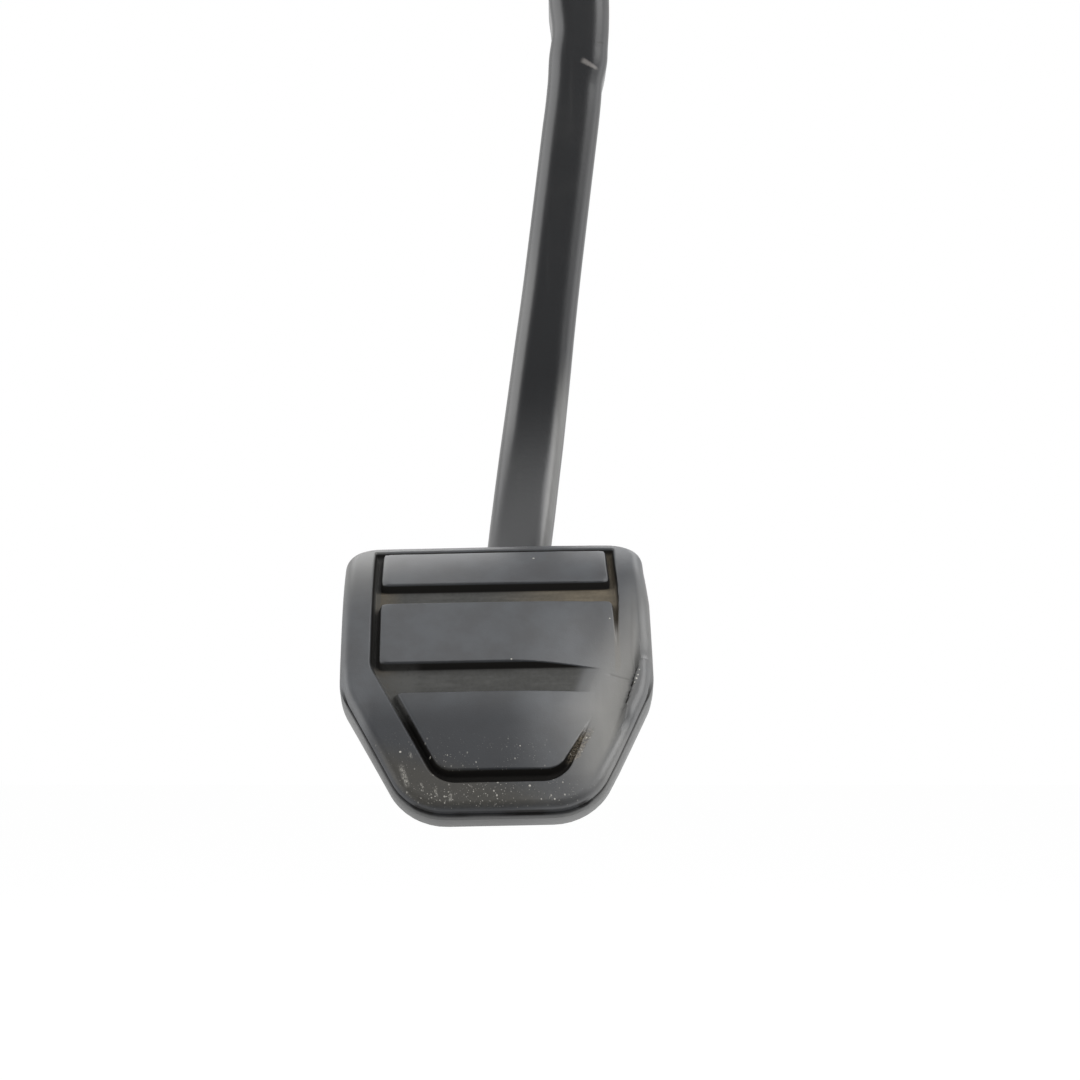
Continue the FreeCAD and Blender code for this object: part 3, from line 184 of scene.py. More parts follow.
class Graph:
    """The node tree of one material or of the world."""

    def __init__(self, tree: bpy.types.NodeTree) -> None:
        """Empty the tree.

        Args:
            tree: the tree to build in.
        """
        self.tree = tree
        tree.nodes.clear()

    def add(self, kind: str, settings: Optional[Mapping[str, Any]] = None,
            sockets: Optional[Mapping[Any, Any]] = None, output: Any = 0) -> Field:
        """Add one node.

        Args:
            kind: the node's type.
            settings: its settings, set first, such as a Math node's operation.
            sockets: its inputs by name or number, each a value or another node's result.
            output: which output to give back.

        Returns:
            That output.
        """
        node = self.tree.nodes.new(kind)
        for name, value in (settings or {}).items():
            setattr(node, name, value)
        for key, value in (sockets or {}).items():
            if isinstance(value, Field):
                self.tree.links.new(value.socket, node.inputs[key])
            else:
                node.inputs[key].default_value = value
        return Field(self, node.outputs[output]) if len(node.outputs) else Field(self, None)

    def place(self) -> Field:
        """The point on the piece, in metres."""
        return self.add("ShaderNodeTexCoord", output="Object")

    def axes(self, vector: Field) -> tuple[Field, Field, Field]:
        """A vector's three parts.

        Args:
            vector: the vector.

        Returns:
            Its x, y and z.
        """
        first = self.add("ShaderNodeSeparateXYZ", sockets={0: vector})
        outputs = first.socket.node.outputs
        return first, Field(self, outputs[1]), Field(self, outputs[2])

    def rays(self) -> tuple[Field, Field, Field]:
        """Whether a ray comes from the camera, a glossy bounce or a transparent one.

        Returns:
            Each as 0 or 1.
        """
        camera = self.add("ShaderNodeLightPath", output="Is Camera Ray")
        outputs = camera.socket.node.outputs
        return camera, Field(self, outputs["Is Glossy Ray"]), Field(self, outputs["Is Transmission Ray"])

    def vector(self, x: Value, y: Value, z: Value) -> Field:
        """A vector from its three parts."""
        return self.add("ShaderNodeCombineXYZ", sockets={0: x, 1: y, 2: z})

    def stretched(self, vector: Field, scale: Point) -> Field:
        """A vector with each part multiplied.

        Args:
            vector: the vector.
            scale: a factor for each part.

        Returns:
            The new vector.
        """
        if scale == (1.0, 1.0, 1.0):
            return vector
        return self.add("ShaderNodeVectorMath", {"operation": "MULTIPLY"}, {0: vector, 1: scale})

    def noise(self, vector: Field, kind: Mottle) -> Field:
        """Soft noise from 0 to 1.

        Args:
            vector: where it is read.
            kind: how it looks.

        Returns:
            The noise.
        """
        sockets = {"Vector": self.stretched(vector, kind.stretch), "Scale": kind.scale,
                   "Detail": kind.detail, "Roughness": kind.roughness}
        return self.add("ShaderNodeTexNoise", None, sockets)

    def specks(self, vector: Field, scale: float, size: float) -> Field:
        """Round specks, 1 inside each and 0 between them.

        Args:
            vector: where they are read.
            scale: cells per unit of the vector, one speck in each.
            size: radius of a speck against its cell.

        Returns:
            The mask.
        """
        distance = self.add("ShaderNodeTexVoronoi", {"feature": "F1"}, {"Vector": vector, "Scale": scale})
        firm_share = 0.45
        return distance.rise(size, size * firm_share)

    def mix(self, share: Value, first: Union[Field, Colour], second: Union[Field, Colour]) -> Field:
        """Blend two colours.

        Args:
            share: 0 gives the first colour and 1 the second.
            first: a colour.
            second: a colour.

        Returns:
            The blend.
        """
        return self.add("ShaderNodeMix", {"data_type": "RGBA"}, {0: share, 6: first, 7: second}, output=2)

    def bump(self, height: Field, distance: float) -> Field:
        """A bumped normal.

        Args:
            height: the height from 0 to 1.
            distance: how far 1 stands up, in metres.

        Returns:
            The normal.
        """
        return self.add("ShaderNodeBump", None, {"Height": height, "Distance": distance})


def grey(level: float) -> Colour:
    """A plain grey of one linear brightness."""
    return (level, level, level, 1.0)


# Finishes


@dataclass(frozen=True)
class Finish:
    """A finish with its own node material. Each kind overrides the surface."""

    name: str
    made: ClassVar[dict[str, bpy.types.Material]] = {}

    def surface(self, graph: Graph) -> dict[str, Any]:
        """Inputs of the shader.

        Args:
            graph: the graph to build in.

        Returns:
            The shader's inputs by name.
        """
        raise NotImplementedError(self.name)

    def material(self) -> bpy.types.Material:
        """The finish as a material, made once and shared.

        Returns:
            The material.
        """
        if self.name not in self.made:
            fresh = bpy.data.materials.new(self.name)
            fresh.use_nodes = True
            self.wire(Graph(fresh.node_tree))
            self.made[self.name] = fresh
        return self.made[self.name]

    def wire(self, graph: Graph) -> None:
        """Build the material's nodes."""
        shader = graph.add("ShaderNodeBsdfPrincipled", None, self.surface(graph))
        graph.add("ShaderNodeOutputMaterial", None, {"Surface": shader})


@dataclass(frozen=True)
class ArmPaint(Finish):
    """Satin black paint on pressed steel: orange peel, faint dust, a scratch, a tick, and a painted highlight
    on its side-facing edges.

    Places are metres in the part's frame. Pairs give where a mark starts and where it is full.
    """

    name: str = "satin_paint"
    base: Colour = (0.0185, 0.0195, 0.0215, 1.0)
    dusty: Colour = (0.045, 0.044, 0.042, 1.0)
    scratch: Colour = (0.27, 0.25, 0.235, 1.0)
    tick: Colour = (0.003, 0.003, 0.003, 1.0)
    rub_and_highlight: Colour = (0.20, 0.198, 0.19, 1.0)
    roughness: float = 0.27
    refraction: float = 1.8
    cloud: Mottle = Mottle(38.0, 4.0, 0.6)
    peel: Mottle = Mottle(900.0, 2.0, 0.5)
    peel_height: float = 0.00004
    streak: Mottle = Mottle(1.0, 3.0, 0.6, (420.0, 420.0, 26.0))
    front: Pair = (-0.100, -0.104)
    scratch_centre: Pair = (0.0027, -0.0960)
    scratch_slope: Pair = (0.874, 0.486)
    scratch_half_width: float = 0.00078
    scratch_taper: float = 0.10
    scratch_ends: Pair = (0.0027, 0.0014)
    ragged: Mottle = Mottle(1500.0, 3.0, 0.7)
    ragged_width: float = 0.0005
    tick_centre: Pair = (0.0054, -0.0905)
    tick_half_height: Pair = (0.0004, 0.0001)
    tick_half_length: Pair = (0.0011, 0.0006)
    edge_turn: Band = (0.15, 0.5, 0.9, 1.0)
    right_highlight: Band = (-0.225, -0.205, -0.186, -0.166)
    left_highlight: Band = (-0.196, -0.180, -0.152, -0.135)

    def surface(self, graph: Graph) -> dict[str, Any]:
        """Paint with dust, the marks by the joggle, and a painted highlight on the edges over it.

        Args:
            graph: the graph to build in.

        Returns:
            The shader's inputs by name.
        """
        place = graph.place()
        cloud = graph.noise(place, self.cloud)
        peel = graph.noise(place, self.peel)
        streak = graph.noise(place, self.streak)
        dust = cloud.rise(0.50, 0.78) * 0.35 + streak.rise(0.62, 0.78) * 0.25
        scratched, ticked = self._joggle_marks(graph, place)
        colour = graph.mix(dust, self.base, self.dusty)
        colour = graph.mix(scratched * 0.9, colour, self.scratch)
        colour = graph.mix(ticked, colour, self.tick)
        # painted highlight: a pale colour laid on the side-facing edges, where light would glint
        colour = graph.mix(self._edge_highlight(graph, place) * (0.35 + streak * 0.5), colour, self.rub_and_highlight)
        return {
            "Base Color": colour,
            "Roughness": self.roughness + cloud * 0.08 + streak.rise(0.55, 0.8) * 0.06 + scratched * 0.2,
            "IOR": self.refraction,
            "Normal": graph.bump(peel * 0.5 + cloud * 0.5, self.peel_height),
        }

    def _joggle_marks(self, graph: Graph, place: Field) -> tuple[Field, Field]:
        """The pale scratch and the dark tick on the arm's front by the joggle.

        Args:
            graph: the graph to build in.
            place: the point on the arm.

        Returns:
            The scratch's mask and the tick's.
        """
        x, y, z = graph.axes(place)
        (centre_x, centre_z), (slope_x, slope_z) = self.scratch_centre, self.scratch_slope
        on_front = y.rise(*self.front)
        uneven = (graph.noise(place, self.ragged) - 0.5) * self.ragged_width
        along = (x - centre_x) * slope_x - (z - centre_z) * slope_z
        across = (x - centre_x) * slope_z + (z - centre_z) * slope_x
        wedge = abs(across + uneven) / (self.scratch_half_width - along * self.scratch_taper)
        scratched = wedge.rise(1.0, 0.2) * abs(along).rise(*self.scratch_ends) * on_front * 0.75
        tick_x, tick_z = self.tick_centre
        ticked = abs(z - tick_z + uneven * 0.6).rise(*self.tick_half_height)
        return scratched, ticked * abs(x - tick_x).rise(*self.tick_half_length) * on_front

    def _edge_highlight(self, graph: Graph, place: Field) -> Field:
        """Where a pale highlight is painted on the arm's two long edges above the pad.

        Args:
            graph: the graph to build in.
            place: the point on the piece.

        Returns:
            How rubbed each place is.
        """
        z = graph.axes(place)[2]
        turned = graph.axes(graph.add("ShaderNodeNewGeometry", output="Normal"))[0]
        # painted highlight, strong on the right edge and weaker on the left, chosen by how far the normal
        # turns sideways
        right = turned.band(self.edge_turn) * z.band(self.right_highlight) * 1.2
        left = (-turned).band(self.edge_turn) * z.band(self.left_highlight) * 0.45
        return right + left


@dataclass(frozen=True)
class DipCoat(Finish):
    """Black dip coat on the bracket: even, slightly pebbled, with dust that settled on it."""

    name: str = "dip_coat"
    base: Colour = (0.016, 0.0165, 0.018, 1.0)
    dusty: Colour = (0.075, 0.070, 0.062, 1.0)
    roughness: float = 0.40
    cloud: Mottle = Mottle(30.0, 5.0, 0.62)
    pebble: Mottle = Mottle(700.0, 2.0, 0.5)
    pebble_height: float = 0.00006
    rub_and_highlight: Mottle = Mottle(1.0, 4.0, 0.7, (90.0, 420.0, 420.0))

    def surface(self, graph: Graph) -> dict[str, Any]:
        """Coat with pebble, rubs and dust.

        Args:
            graph: the graph to build in.

        Returns:
            The shader's inputs by name.
        """
        place = graph.place()
        cloud = graph.noise(place, self.cloud)
        pebble = graph.noise(place, self.pebble)
        rub_and_highlight = graph.noise(place, self.rub_and_highlight)
        dust = cloud.rise(0.46, 0.80) * 0.55 + rub_and_highlight.rise(0.66, 0.74) * 0.25
        return {
            "Base Color": graph.mix(dust, self.base, self.dusty),
            "Roughness": self.roughness + cloud * 0.16,
            "Normal": graph.bump(pebble * 0.7 + cloud * 0.3, self.pebble_height),
        }


@dataclass(frozen=True)
class Metal(Finish):
    """A bare or plated metal, with fine drawing lines and dull patches."""

    base: Colour
    dull: Colour
    roughness: float
    lines: Mottle
    line_height: float = 0.00002
    cloud: Mottle = Mottle(120.0, 4.0, 0.6)

    def surface(self, graph: Graph) -> dict[str, Any]:
        """Metal with dull patches and lines.

        Args:
            graph: the graph to build in.

        Returns:
            The shader's inputs by name.
        """
        place = graph.place()
        cloud = graph.noise(place, self.cloud)
        line = graph.noise(place, self.lines)
        colour = graph.mix(cloud.rise(0.42, 0.72) * 0.8 + line.rise(0.6, 0.8) * 0.2, self.base, self.dull)
        return {
            "Base Color": colour,
            "Metallic": 1.0,
            "Roughness": self.roughness + cloud * 0.18 + line * 0.06,
            "Normal": graph.bump(line, self.line_height),
        }


@dataclass(frozen=True)
class Moulded(Finish):
    """A moulded plastic or rubber: even colour, fine grain and a little dust."""

    base: Colour
    shade: Colour
    roughness: float
    grain: Mottle = Mottle(1100.0, 2.0, 0.6)
    grain_height: float = 0.00003
    cloud: Mottle = Mottle(85.0, 4.0, 0.6)

    def surface(self, graph: Graph) -> dict[str, Any]:
        """Plastic with grain, slight shade and dust.

        Args:
            graph: the graph to build in.

        Returns:
            The shader's inputs by name.
        """
        place = graph.place()
        cloud = graph.noise(place, self.cloud)
        grain = graph.noise(place, self.grain)
        return {
            "Base Color": graph.mix(cloud.rise(0.40, 0.80), self.base, self.shade),
            "Roughness": self.roughness + cloud * 0.12 + grain * 0.05,
            "Normal": graph.bump(grain, self.grain_height),
        }


@dataclass(frozen=True)
class WeldMetal(Finish):
    """A painted weld bead: the arm's paint over ripples, duller and a little dusty."""

    name: str = "weld_paint"
    base: Colour = (0.014, 0.0145, 0.016, 1.0)
    dusty: Colour = (0.060, 0.055, 0.048, 1.0)
    roughness: float = 0.42
    cloud: Mottle = Mottle(260.0, 4.0, 0.65)
    pit_height: float = 0.00010

    def surface(self, graph: Graph) -> dict[str, Any]:
        """Paint over a rippled bead.

        Args:
            graph: the graph to build in.

        Returns:
            The shader's inputs by name.
        """
        place = graph.place()
        cloud = graph.noise(place, self.cloud)
        return {
            "Base Color": graph.mix(cloud.rise(0.48, 0.75), self.base, self.dusty),
            "Roughness": self.roughness + cloud * 0.2,
            "Normal": graph.bump(cloud, self.pit_height),
        }


@dataclass(frozen=True)
class WornRubber(Finish):
    """The pad's black rubber: grey with wear, polished on the right, dusty in its grooves, with painted shade
    on the groove walls, the lower seam, the crack and between crumbs, and a lip lighter partly from dust and
    partly from painted light.

    Places are millimetres on the pad: across from its middle, down from its upper edge, depth into it.
    Pairs give where a mark starts and where it is full, bands where it starts, is full, wanes and ends.
    """

    name: str = "worn_rubber"
    fresh: Colour = (0.034, 0.036, 0.040, 1.0)
    bloom: Colour = (0.054, 0.060, 0.068, 1.0)
    polish: Colour = (0.245, 0.240, 0.226, 1.0)
    # painted shade: a near-black colour laid where shade falls in grooves, seam, crack and between crumbs
    painted_shade: Colour = (0.0150, 0.0142, 0.0130, 1.0)
    dust: Colour = (0.225, 0.192, 0.142, 1.0)
    film: Colour = (0.110, 0.110, 0.106, 1.0)
    grime: Colour = (0.060, 0.054, 0.042, 1.0)
    pale: Colour = (0.62, 0.60, 0.54, 1.0)
    # the lip's lighter grey: partly dust, partly painted light where it catches the lamps
    lip: Colour = (0.185, 0.186, 0.184, 1.0)
    roughness: float = 0.40
    refraction: float = 1.8
    dull_refraction: float = 1.2
    grain_height: float = 0.00005
    place_name: str = "pad_place"
    wear_name: str = "pad_wear"
    cloud: Mottle = Mottle(0.11, 4.0, 0.55)
    streak: Mottle = Mottle(1.0, 4.0, 0.6, (0.32, 0.05, 0.3))
    fine: Mottle = Mottle(2.6, 3.0, 0.6)
    grit: Mottle = Mottle(1.1, 4.0, 0.62)
    soft: Mottle = Mottle(1.0, 3.0, 0.5, (0.10, 0.6, 1.0))
    grain: Mottle = Mottle(2.2, 3.0, 0.7)
    speck_patch: Mottle = Mottle(0.30, 2.0, 0.5)
    speck_gap: Mottle = Mottle(1.6, 2.0, 0.5)
    swept_gap: Mottle = Mottle(0.9, 2.0, 0.5)
    scratchy: Mottle = Mottle(1.0, 4.0, 0.75, (5.0, 1.6, 1.0))
    face_depth: Pair = (1.1, 0.3)
    face_wear: Pair = (0.3, 0.8)
    polish_lean: Point = (20.0, 52.0, 0.5)
    polish_across: Pair = (26.5, 42.5)
    polish_down: Pair = (80.0, 66.0)
    unrubbed_across: Band = (-30.5, -26.5, 1.0, 15.0)
    unrubbed_down: Pair = (45.0, 57.0)
    past_fold: Pair = (-0.6, 1.4)
    past_fold_down: Pair = (80.0, 56.0)
    chalk_across: Pair = (6.0, -26.0)
    chalk_edge: Pair = (-24.0, -27.0)
    chalk_down: Pair = (30.0, 8.0)
    fold_shade: Pair = (1.2, 0.1)
    fold_shade_down: Band = (35.0, 43.0, 50.0, 58.0)
    wall_kept: Pair = (0.06, 0.40)
    wall_depth: Pair = (0.2, 0.7)
    floor_kept: Pair = (0.0, 0.9)
    floor_depth: Pair = (2.05, 2.4)
    foot_kept: Pair = (0.9, 0.3)
    foot_depth: Pair = (2.1, 2.4)
    first_floor: Band = (17.8, 19.2, 23.5, 26.5)
    second_floor: Band = (40.0, 42.5, 48.0, 51.0)
    third_floor_across: Pair = (13.5, 16.5)
    third_floor_down: Pair = (54.0, 60.0)
    tan_across: Pair = (-6.0, 24.0)
    tan_down: Pair = (34.0, 26.0)
    left_tan_across: Pair = (-20.0, -26.0)
    side_floor_across: Pair = (25.8, 26.2)
    side_floor_down: Pair = (44.0, 41.0)
    side_floor_depth: Pair = (0.9, 2.2)
    side_dust_down: Pair = (36.0, 6.0)
    corner_across: Pair = (-16.0, -19.0)
    corner_down: Band = (40.0, 44.0, 50.5, 57.0)
    slope_reach: float = 51.5
    slope_turn: Pair = (0.8926, 0.4509)
    leg_inset: Band = (6.9, 7.7, 9.35, 9.75)
    leg_across: Pair = (8.0, 12.0)
    leg_down: Band = (56.0, 60.0, 64.4, 66.0)
    low_rim: Pair = (69.6, 70.6)
    low_rim_across: Pair = (22.0, 12.0)
    third_block: Pair = (56.0, 66.0)
    third_block_across: Pair = (16.0, 2.0)
    swept_across: Band = (-18.5, -15.5, -3.0, 4.0)
    swept_down: Band = (71.2, 72.2, 74.2, 75.0)
    haze_across: Pair = (20.0, 6.0)
    haze_down: Pair = (66.0, 71.5)
    grime_across: Pair = (26.0, 8.0)
    grime_lean: float = 0.32
    grime_start: Pair = (67.0, 74.0)
    grime_end: Pair = (76.5, 74.5)
    outside_groove: Pair = (0.3, 0.1)
    outside_depth: Pair = (0.9, 1.3)
    bottom_seam: Band = (0.5, 1.6, 3.1, 3.35)
    bottom_seam_down: Pair = (73.6, 74.8)
    side_seam: Band = (2.5, 2.75, 3.1, 3.25)
    side_seam_down: Pair = (44.0, 50.0)
    uneven_seam_down: Pair = (72.0, 74.0)
    lip_depth: Pair = (3.05, 3.4)
    lip_down: Pair = (44.0, 52.0)
    crack_half_width: Pair = (0.36, 0.15)
    crack_down: Band = (42.0, 43.2, 51.2, 52.5)
    scuffs: tuple[tuple[float, float, float, float, float], ...] = (
        (-20.9, 65.8, -19.2, 71.3, 0.8), (-18.9, 63.2, -18.5, 64.4, 0.4), (-10.2, 72.6, -10.4, 74.6, 0.5),
        (-13.6, 71.6, -13.0, 73.4, 0.35), (-16.6, 70.2, -16.0, 71.4, 0.35))
    dots: tuple[Point, ...] = (
        (8.81, 8.47, 0.34), (25.32, 28.88, 0.22), (3.08, 40.64, 0.25), (-20.9, 63.0, 0.3),
        (6.3, 71.3, 0.3), (-14.6, 63.9, 0.25), (4.5, 62.0, 0.2),
        (30.45, 46.2, 0.3), (30.85, 45.3, 0.24), (30.0, 47.1, 0.24), (31.2, 44.0, 0.2))

    def wire(self, graph: Graph) -> None:
        """Rubber coloured by its place on the pad, dull in its grooves and seams.

        Args:
            graph: the graph to build in.
        """
        layers = RubberLayers(self, graph)
        layers.rubbing()
        layers.groove_walls()
        layers.groove_floors()
        layers.side_columns()
        layers.lower_right_groove()
        layers.low_dirt()
        layers.lip_and_seam_shade()
        layers.crack()
        layers.pale_marks()
        layers.shade()


class RubberLayers:
    """The colours of the worn rubber, laid one over the other in the order of its methods."""

    def __init__(self, look: WornRubber, graph: Graph) -> None:
        """Read the cover's marks and lay the plain rubber.

        Args:
            look: the finish, with its colours and places.
            graph: the graph to build in.
        """
        self.look = look
        self.graph = graph
        self.spot = graph.add("ShaderNodeAttribute", {"attribute_name": look.place_name}, output="Vector")
        worn = graph.add("ShaderNodeAttribute", {"attribute_name": look.wear_name}, output="Vector")
        self.across, self.down, self.depth = graph.axes(self.spot)
        self.wear, self.groove, self.fold = graph.axes(worn)
        self.flat = graph.vector(self.across, self.down, 0.0)
        self.streak = graph.noise(self.spot, look.streak)
        self.fine = graph.noise(self.spot, look.fine)
        self.grit = graph.noise(self.spot, look.grit)
        self.soft = graph.noise(self.flat, look.soft)
        self.on_face = (self.depth.rise(*look.face_depth) + self.wear.rise(*look.face_wear)).at_most(1.0)
        self.unrubbed = self.down.rise(*look.unrubbed_down) * self.across.band(look.unrubbed_across)
        bloomed = graph.noise(self.flat, look.cloud).rise(0.3, 0.7) * (1.0 - self.unrubbed * 0.8)
        self.colour = graph.mix(bloomed, look.fresh, look.bloom)

    def lay(self, share: Field, colour: Union[Field, Colour]) -> None:
        """Lay a colour over what is there.

        Args:
            share: how much of it covers.
            colour: the colour.
        """
        self.colour = self.graph.mix(share, self.colour, colour)

    def rubbing(self) -> None:
        """The polish on the right, the chalky film at the upper left and the shade along the fold."""
        across, down, look = self.across, self.down, self.look
        start, end, lean = look.polish_lean
        reach = across + (down.at_most(end) - start) * lean
        self.polished = reach.rise(*look.polish_across) * down.rise(*look.polish_down)
        past_fold = self.fold.rise(*look.past_fold) * down.rise(*look.past_fold_down)
        lit = self.polished * (0.80 + self.streak * 0.40) * (1.0 - past_fold * 0.75)
        self.lay(lit.at_most(1.0), look.polish)
        chalk = across.rise(*look.chalk_across) * 0.35 + across.rise(*look.chalk_edge) * 0.55
        self.lay(chalk * down.rise(*look.chalk_down) * (0.8 + self.streak * 0.4), look.film)
        self.shaded = abs(self.fold).rise(*look.fold_shade) * down.band(look.fold_shade_down) * 0.7
        self.lay(self.shaded, look.fresh)

    def groove_walls(self) -> None:
        """Painted shade on the groove walls where the grooves aren't worn away."""
        groove, look = self.groove, self.look
        kept = groove - self.wear
        foot = groove.rise(*look.foot_depth) * kept.rise(*look.foot_kept)
        self.walls = kept.rise(*look.wall_kept) * groove.rise(*look.wall_depth) * (1.0 - foot)
        self.floor = groove.rise(*look.floor_depth) * kept.rise(*look.floor_kept)
        # painted shade on the groove walls
        self.lay(self.walls, look.painted_shade)

    def groove_floors(self) -> None:
        """Dust on the floors of the two cross grooves and of the slanting one, tan on the right."""
        across, down, look = self.across, self.down, self.look
        third = across.rise(*look.third_floor_across) * down.rise(*look.third_floor_down) * 0.8
        floors = down.band(look.first_floor).at_least(down.band(look.second_floor)).at_least(third)
        tan = across.rise(*look.tan_across) * down.rise(*look.tan_down)
        tan = tan + across.rise(*look.left_tan_across) * 0.7 + third * 0.6
        ground = self.graph.mix(tan.at_most(1.0) * (0.55 + self.soft * 0.6), look.film, look.dust)
        cover = 0.70 + self.grit.rise(0.3, 0.7) * 0.12 + self.soft.rise(0.4, 0.7) * 0.18
        self.settled = self.floor * floors * cover
        self.lay(self.settled, ground)

    def side_columns(self) -> None:
        """Dust in the grooves beside the blocks, and film on the walls at the second block's low corner."""
        across, down, look = self.across, self.down, self.look
        beside = abs(across).rise(*look.side_floor_across) * down.rise(*look.side_floor_down)
        beside = beside * self.groove.rise(*look.side_floor_depth)
        beside = beside * (0.30 + down.rise(*look.side_dust_down) * 0.55)
        tan = self.graph.mix(across.rise(0.0, 1.0) * 0.7, look.film, look.dust)
        self.lay(beside * (0.75 + self.grit * 0.5), tan)
        corner = across.rise(*look.corner_across) * down.band(look.corner_down) * self.grit.rise(0.2, 0.5)
        self.lay(self.walls * corner * 0.9, look.film)

    def lower_right_groove(self) -> None:
        """Crumbly dust in the groove along the lower right slope, with painted shade between the crumbs."""
        look = self.look
        slope_across, slope_down = look.slope_turn
        inset = look.slope_reach - (self.across * slope_across + self.down * slope_down)
        place = self.down.band(look.leg_down) * self.across.rise(*look.leg_across)
        self.leg = inset.band(look.leg_inset) * place
        grains = self.graph.noise(self.spot, look.grain).rise(0.36, 0.66)
        # painted shade between the dust crumbs, dust on them
        self.lay(self.leg * 0.85, self.graph.mix(grains, look.painted_shade, look.dust))

    def low_dirt(self) -> None:
        """Haze and warm grime on the lower rim."""
        across, down, look = self.across, self.down, self.look
        haze = down.rise(*look.haze_down) * across.rise(*look.haze_across) * self.on_face
        self.lay(haze * (0.10 + self.grit.rise(0.4, 0.7) * 0.22), look.film)
        grime = (down - across * look.grime_lean).rise(*look.grime_start) * down.rise(*look.grime_end)
        grime = grime * across.rise(*look.grime_across) * self.on_face
        self.lay(grime * (0.42 + self.grit * 0.4), look.grime)

    def lip_and_seam_shade(self) -> None:
        """The lip round the lower edge, lighter grey partly from dust and partly painted light, and painted
        shade on the down-facing rounding and seam in front of it.
        """
        depth, down, look = self.depth, self.down, self.look
        outside = self.groove.rise(*look.outside_groove) * (depth - self.wear).rise(*look.outside_depth)
        bottom = depth.band(look.bottom_seam) * down.rise(*look.bottom_seam_down)
        sides = depth.band(look.side_seam) * down.rise(*look.side_seam_down)
        self.seam_shade = ((bottom + sides) * outside).at_most(1.0)
        self.lip = depth.rise(*look.lip_depth) * down.rise(*look.lip_down) * outside
        # lighter grey on the lip: partly dust, partly painted light
        self.lay(self.lip * (0.80 + self.fine * 0.3), look.lip)
        uneven = 0.92 - down.rise(*look.uneven_seam_down) * self.soft.rise(0.62, 0.42) * 0.6
        # painted shade on the down-facing rim rounding and the seam
        self.lay(self.seam_shade * uneven, look.painted_shade)

    def crack(self) -> None:
        """Painted shade in the crack along the fold."""
        self.cracked = abs(self.fold).rise(*self.look.crack_half_width) * self.down.band(self.look.crack_down)
        # painted shade in the crack
        self.lay(self.cracked, self.look.painted_shade)

    def pale_marks(self) -> None:
        """Specks, scuffs, dots and crumbs, all pale."""
        graph, flat, look = self.graph, self.flat, self.look
        marks = self._scattered()
        swept = self.down.band(look.swept_down) * self.across.band(look.swept_across)
        swept = swept * graph.specks(flat, 1.5, 0.27) * graph.noise(flat, look.swept_gap).rise(0.40, 0.52)
        marks = marks.at_least(swept * 0.8)
        scratchy = graph.noise(flat, look.scratchy).rise(0.41, 0.66) * 0.9
        for line in look.scuffs:
            marks = marks.at_least(self._scuff(line) * scratchy)
        for dot_across, dot_down, radius in look.dots:
            away = ((self.across - dot_across) ** 2.0 + (self.down - dot_down) ** 2.0) ** 0.5
            marks = marks.at_least(away.rise(radius, radius * 0.4))
        self.marks = marks.at_least(graph.specks(flat, 1.5, 0.30) * self.leg * 0.8)
        self.lay(self.marks * 0.85, look.pale)

    def _scattered(self) -> Field:
        """Specks on the lower rim, and fewer on the third block.

        Returns:
            How strong they are.
        """
        across, down, flat, graph, look = self.across, self.down, self.flat, self.graph, self.look
        block = down.rise(*look.third_block) * across.rise(*look.third_block_across) * 0.5
        low = down.rise(*look.low_rim).at_least(block) * self.on_face
        gathered = graph.noise(self.spot, look.speck_patch).rise(0.36, 0.60)
        gathered = gathered * across.rise(*look.low_rim_across)
        tiny = graph.specks(flat, 2.0, 0.26) * graph.noise(flat, look.speck_gap).rise(0.44, 0.58)
        larger = graph.specks(graph.stretched(flat, (1.0, 0.7, 1.0)), 0.75, 0.16)
        return (tiny * 0.7).at_least(larger) * low * gathered

    def _scuff(self, line: tuple[float, float, float, float, float]) -> Field:
        """A scuff along a short line.

        Args:
            line: its start, its end and half its width.

        Returns:
            1 in the scuff.
        """
        start_across, start_down, end_across, end_down, width = line
        length = math.hypot(end_across - start_across, end_down - start_down)
        cos, sin = (end_across - start_across) / length, (end_down - start_down) / length
        right, below = self.across - start_across, self.down - start_down
        along = right * cos + below * sin
        aside = abs(right * sin - below * cos)
        overrun = 0.3
        ends = along.band((-overrun, length * 0.3, length * 0.7, length + overrun))
        return aside.rise(width, width * 0.1) * ends

    def shade(self) -> None:
        """Shiny and dull rubber, mixed by how hidden each place is."""
        graph, look = self.graph, self.look
        rough = look.roughness - self.polished * 0.06 + self.walls * 0.35 + self.settled * 0.25
        rough = rough + self.fine * 0.06 + self.lip * 0.1
        height = self.fine * 0.4 + self.grit * 0.3 + self.marks * 1.5
        shared = {
            "Base Color": self.colour,
            "Roughness": rough.at_most(0.95),
            "Normal": graph.bump(height, look.grain_height),
        }
        shiny = graph.add("ShaderNodeBsdfPrincipled", None, {**shared, "IOR": look.refraction})
        dull = graph.add("ShaderNodeBsdfPrincipled", None, {**shared, "IOR": look.dull_refraction})
        hidden = self.walls.at_least(self.seam_shade).at_least(self.cracked)
        hidden = hidden.at_least(self.shaded * 0.6).at_least(self.unrubbed * 0.6)
        surface = graph.add("ShaderNodeMixShader", None, {0: hidden, 1: shiny, 2: dull})
        graph.add("ShaderNodeOutputMaterial", None, {"Surface": surface})


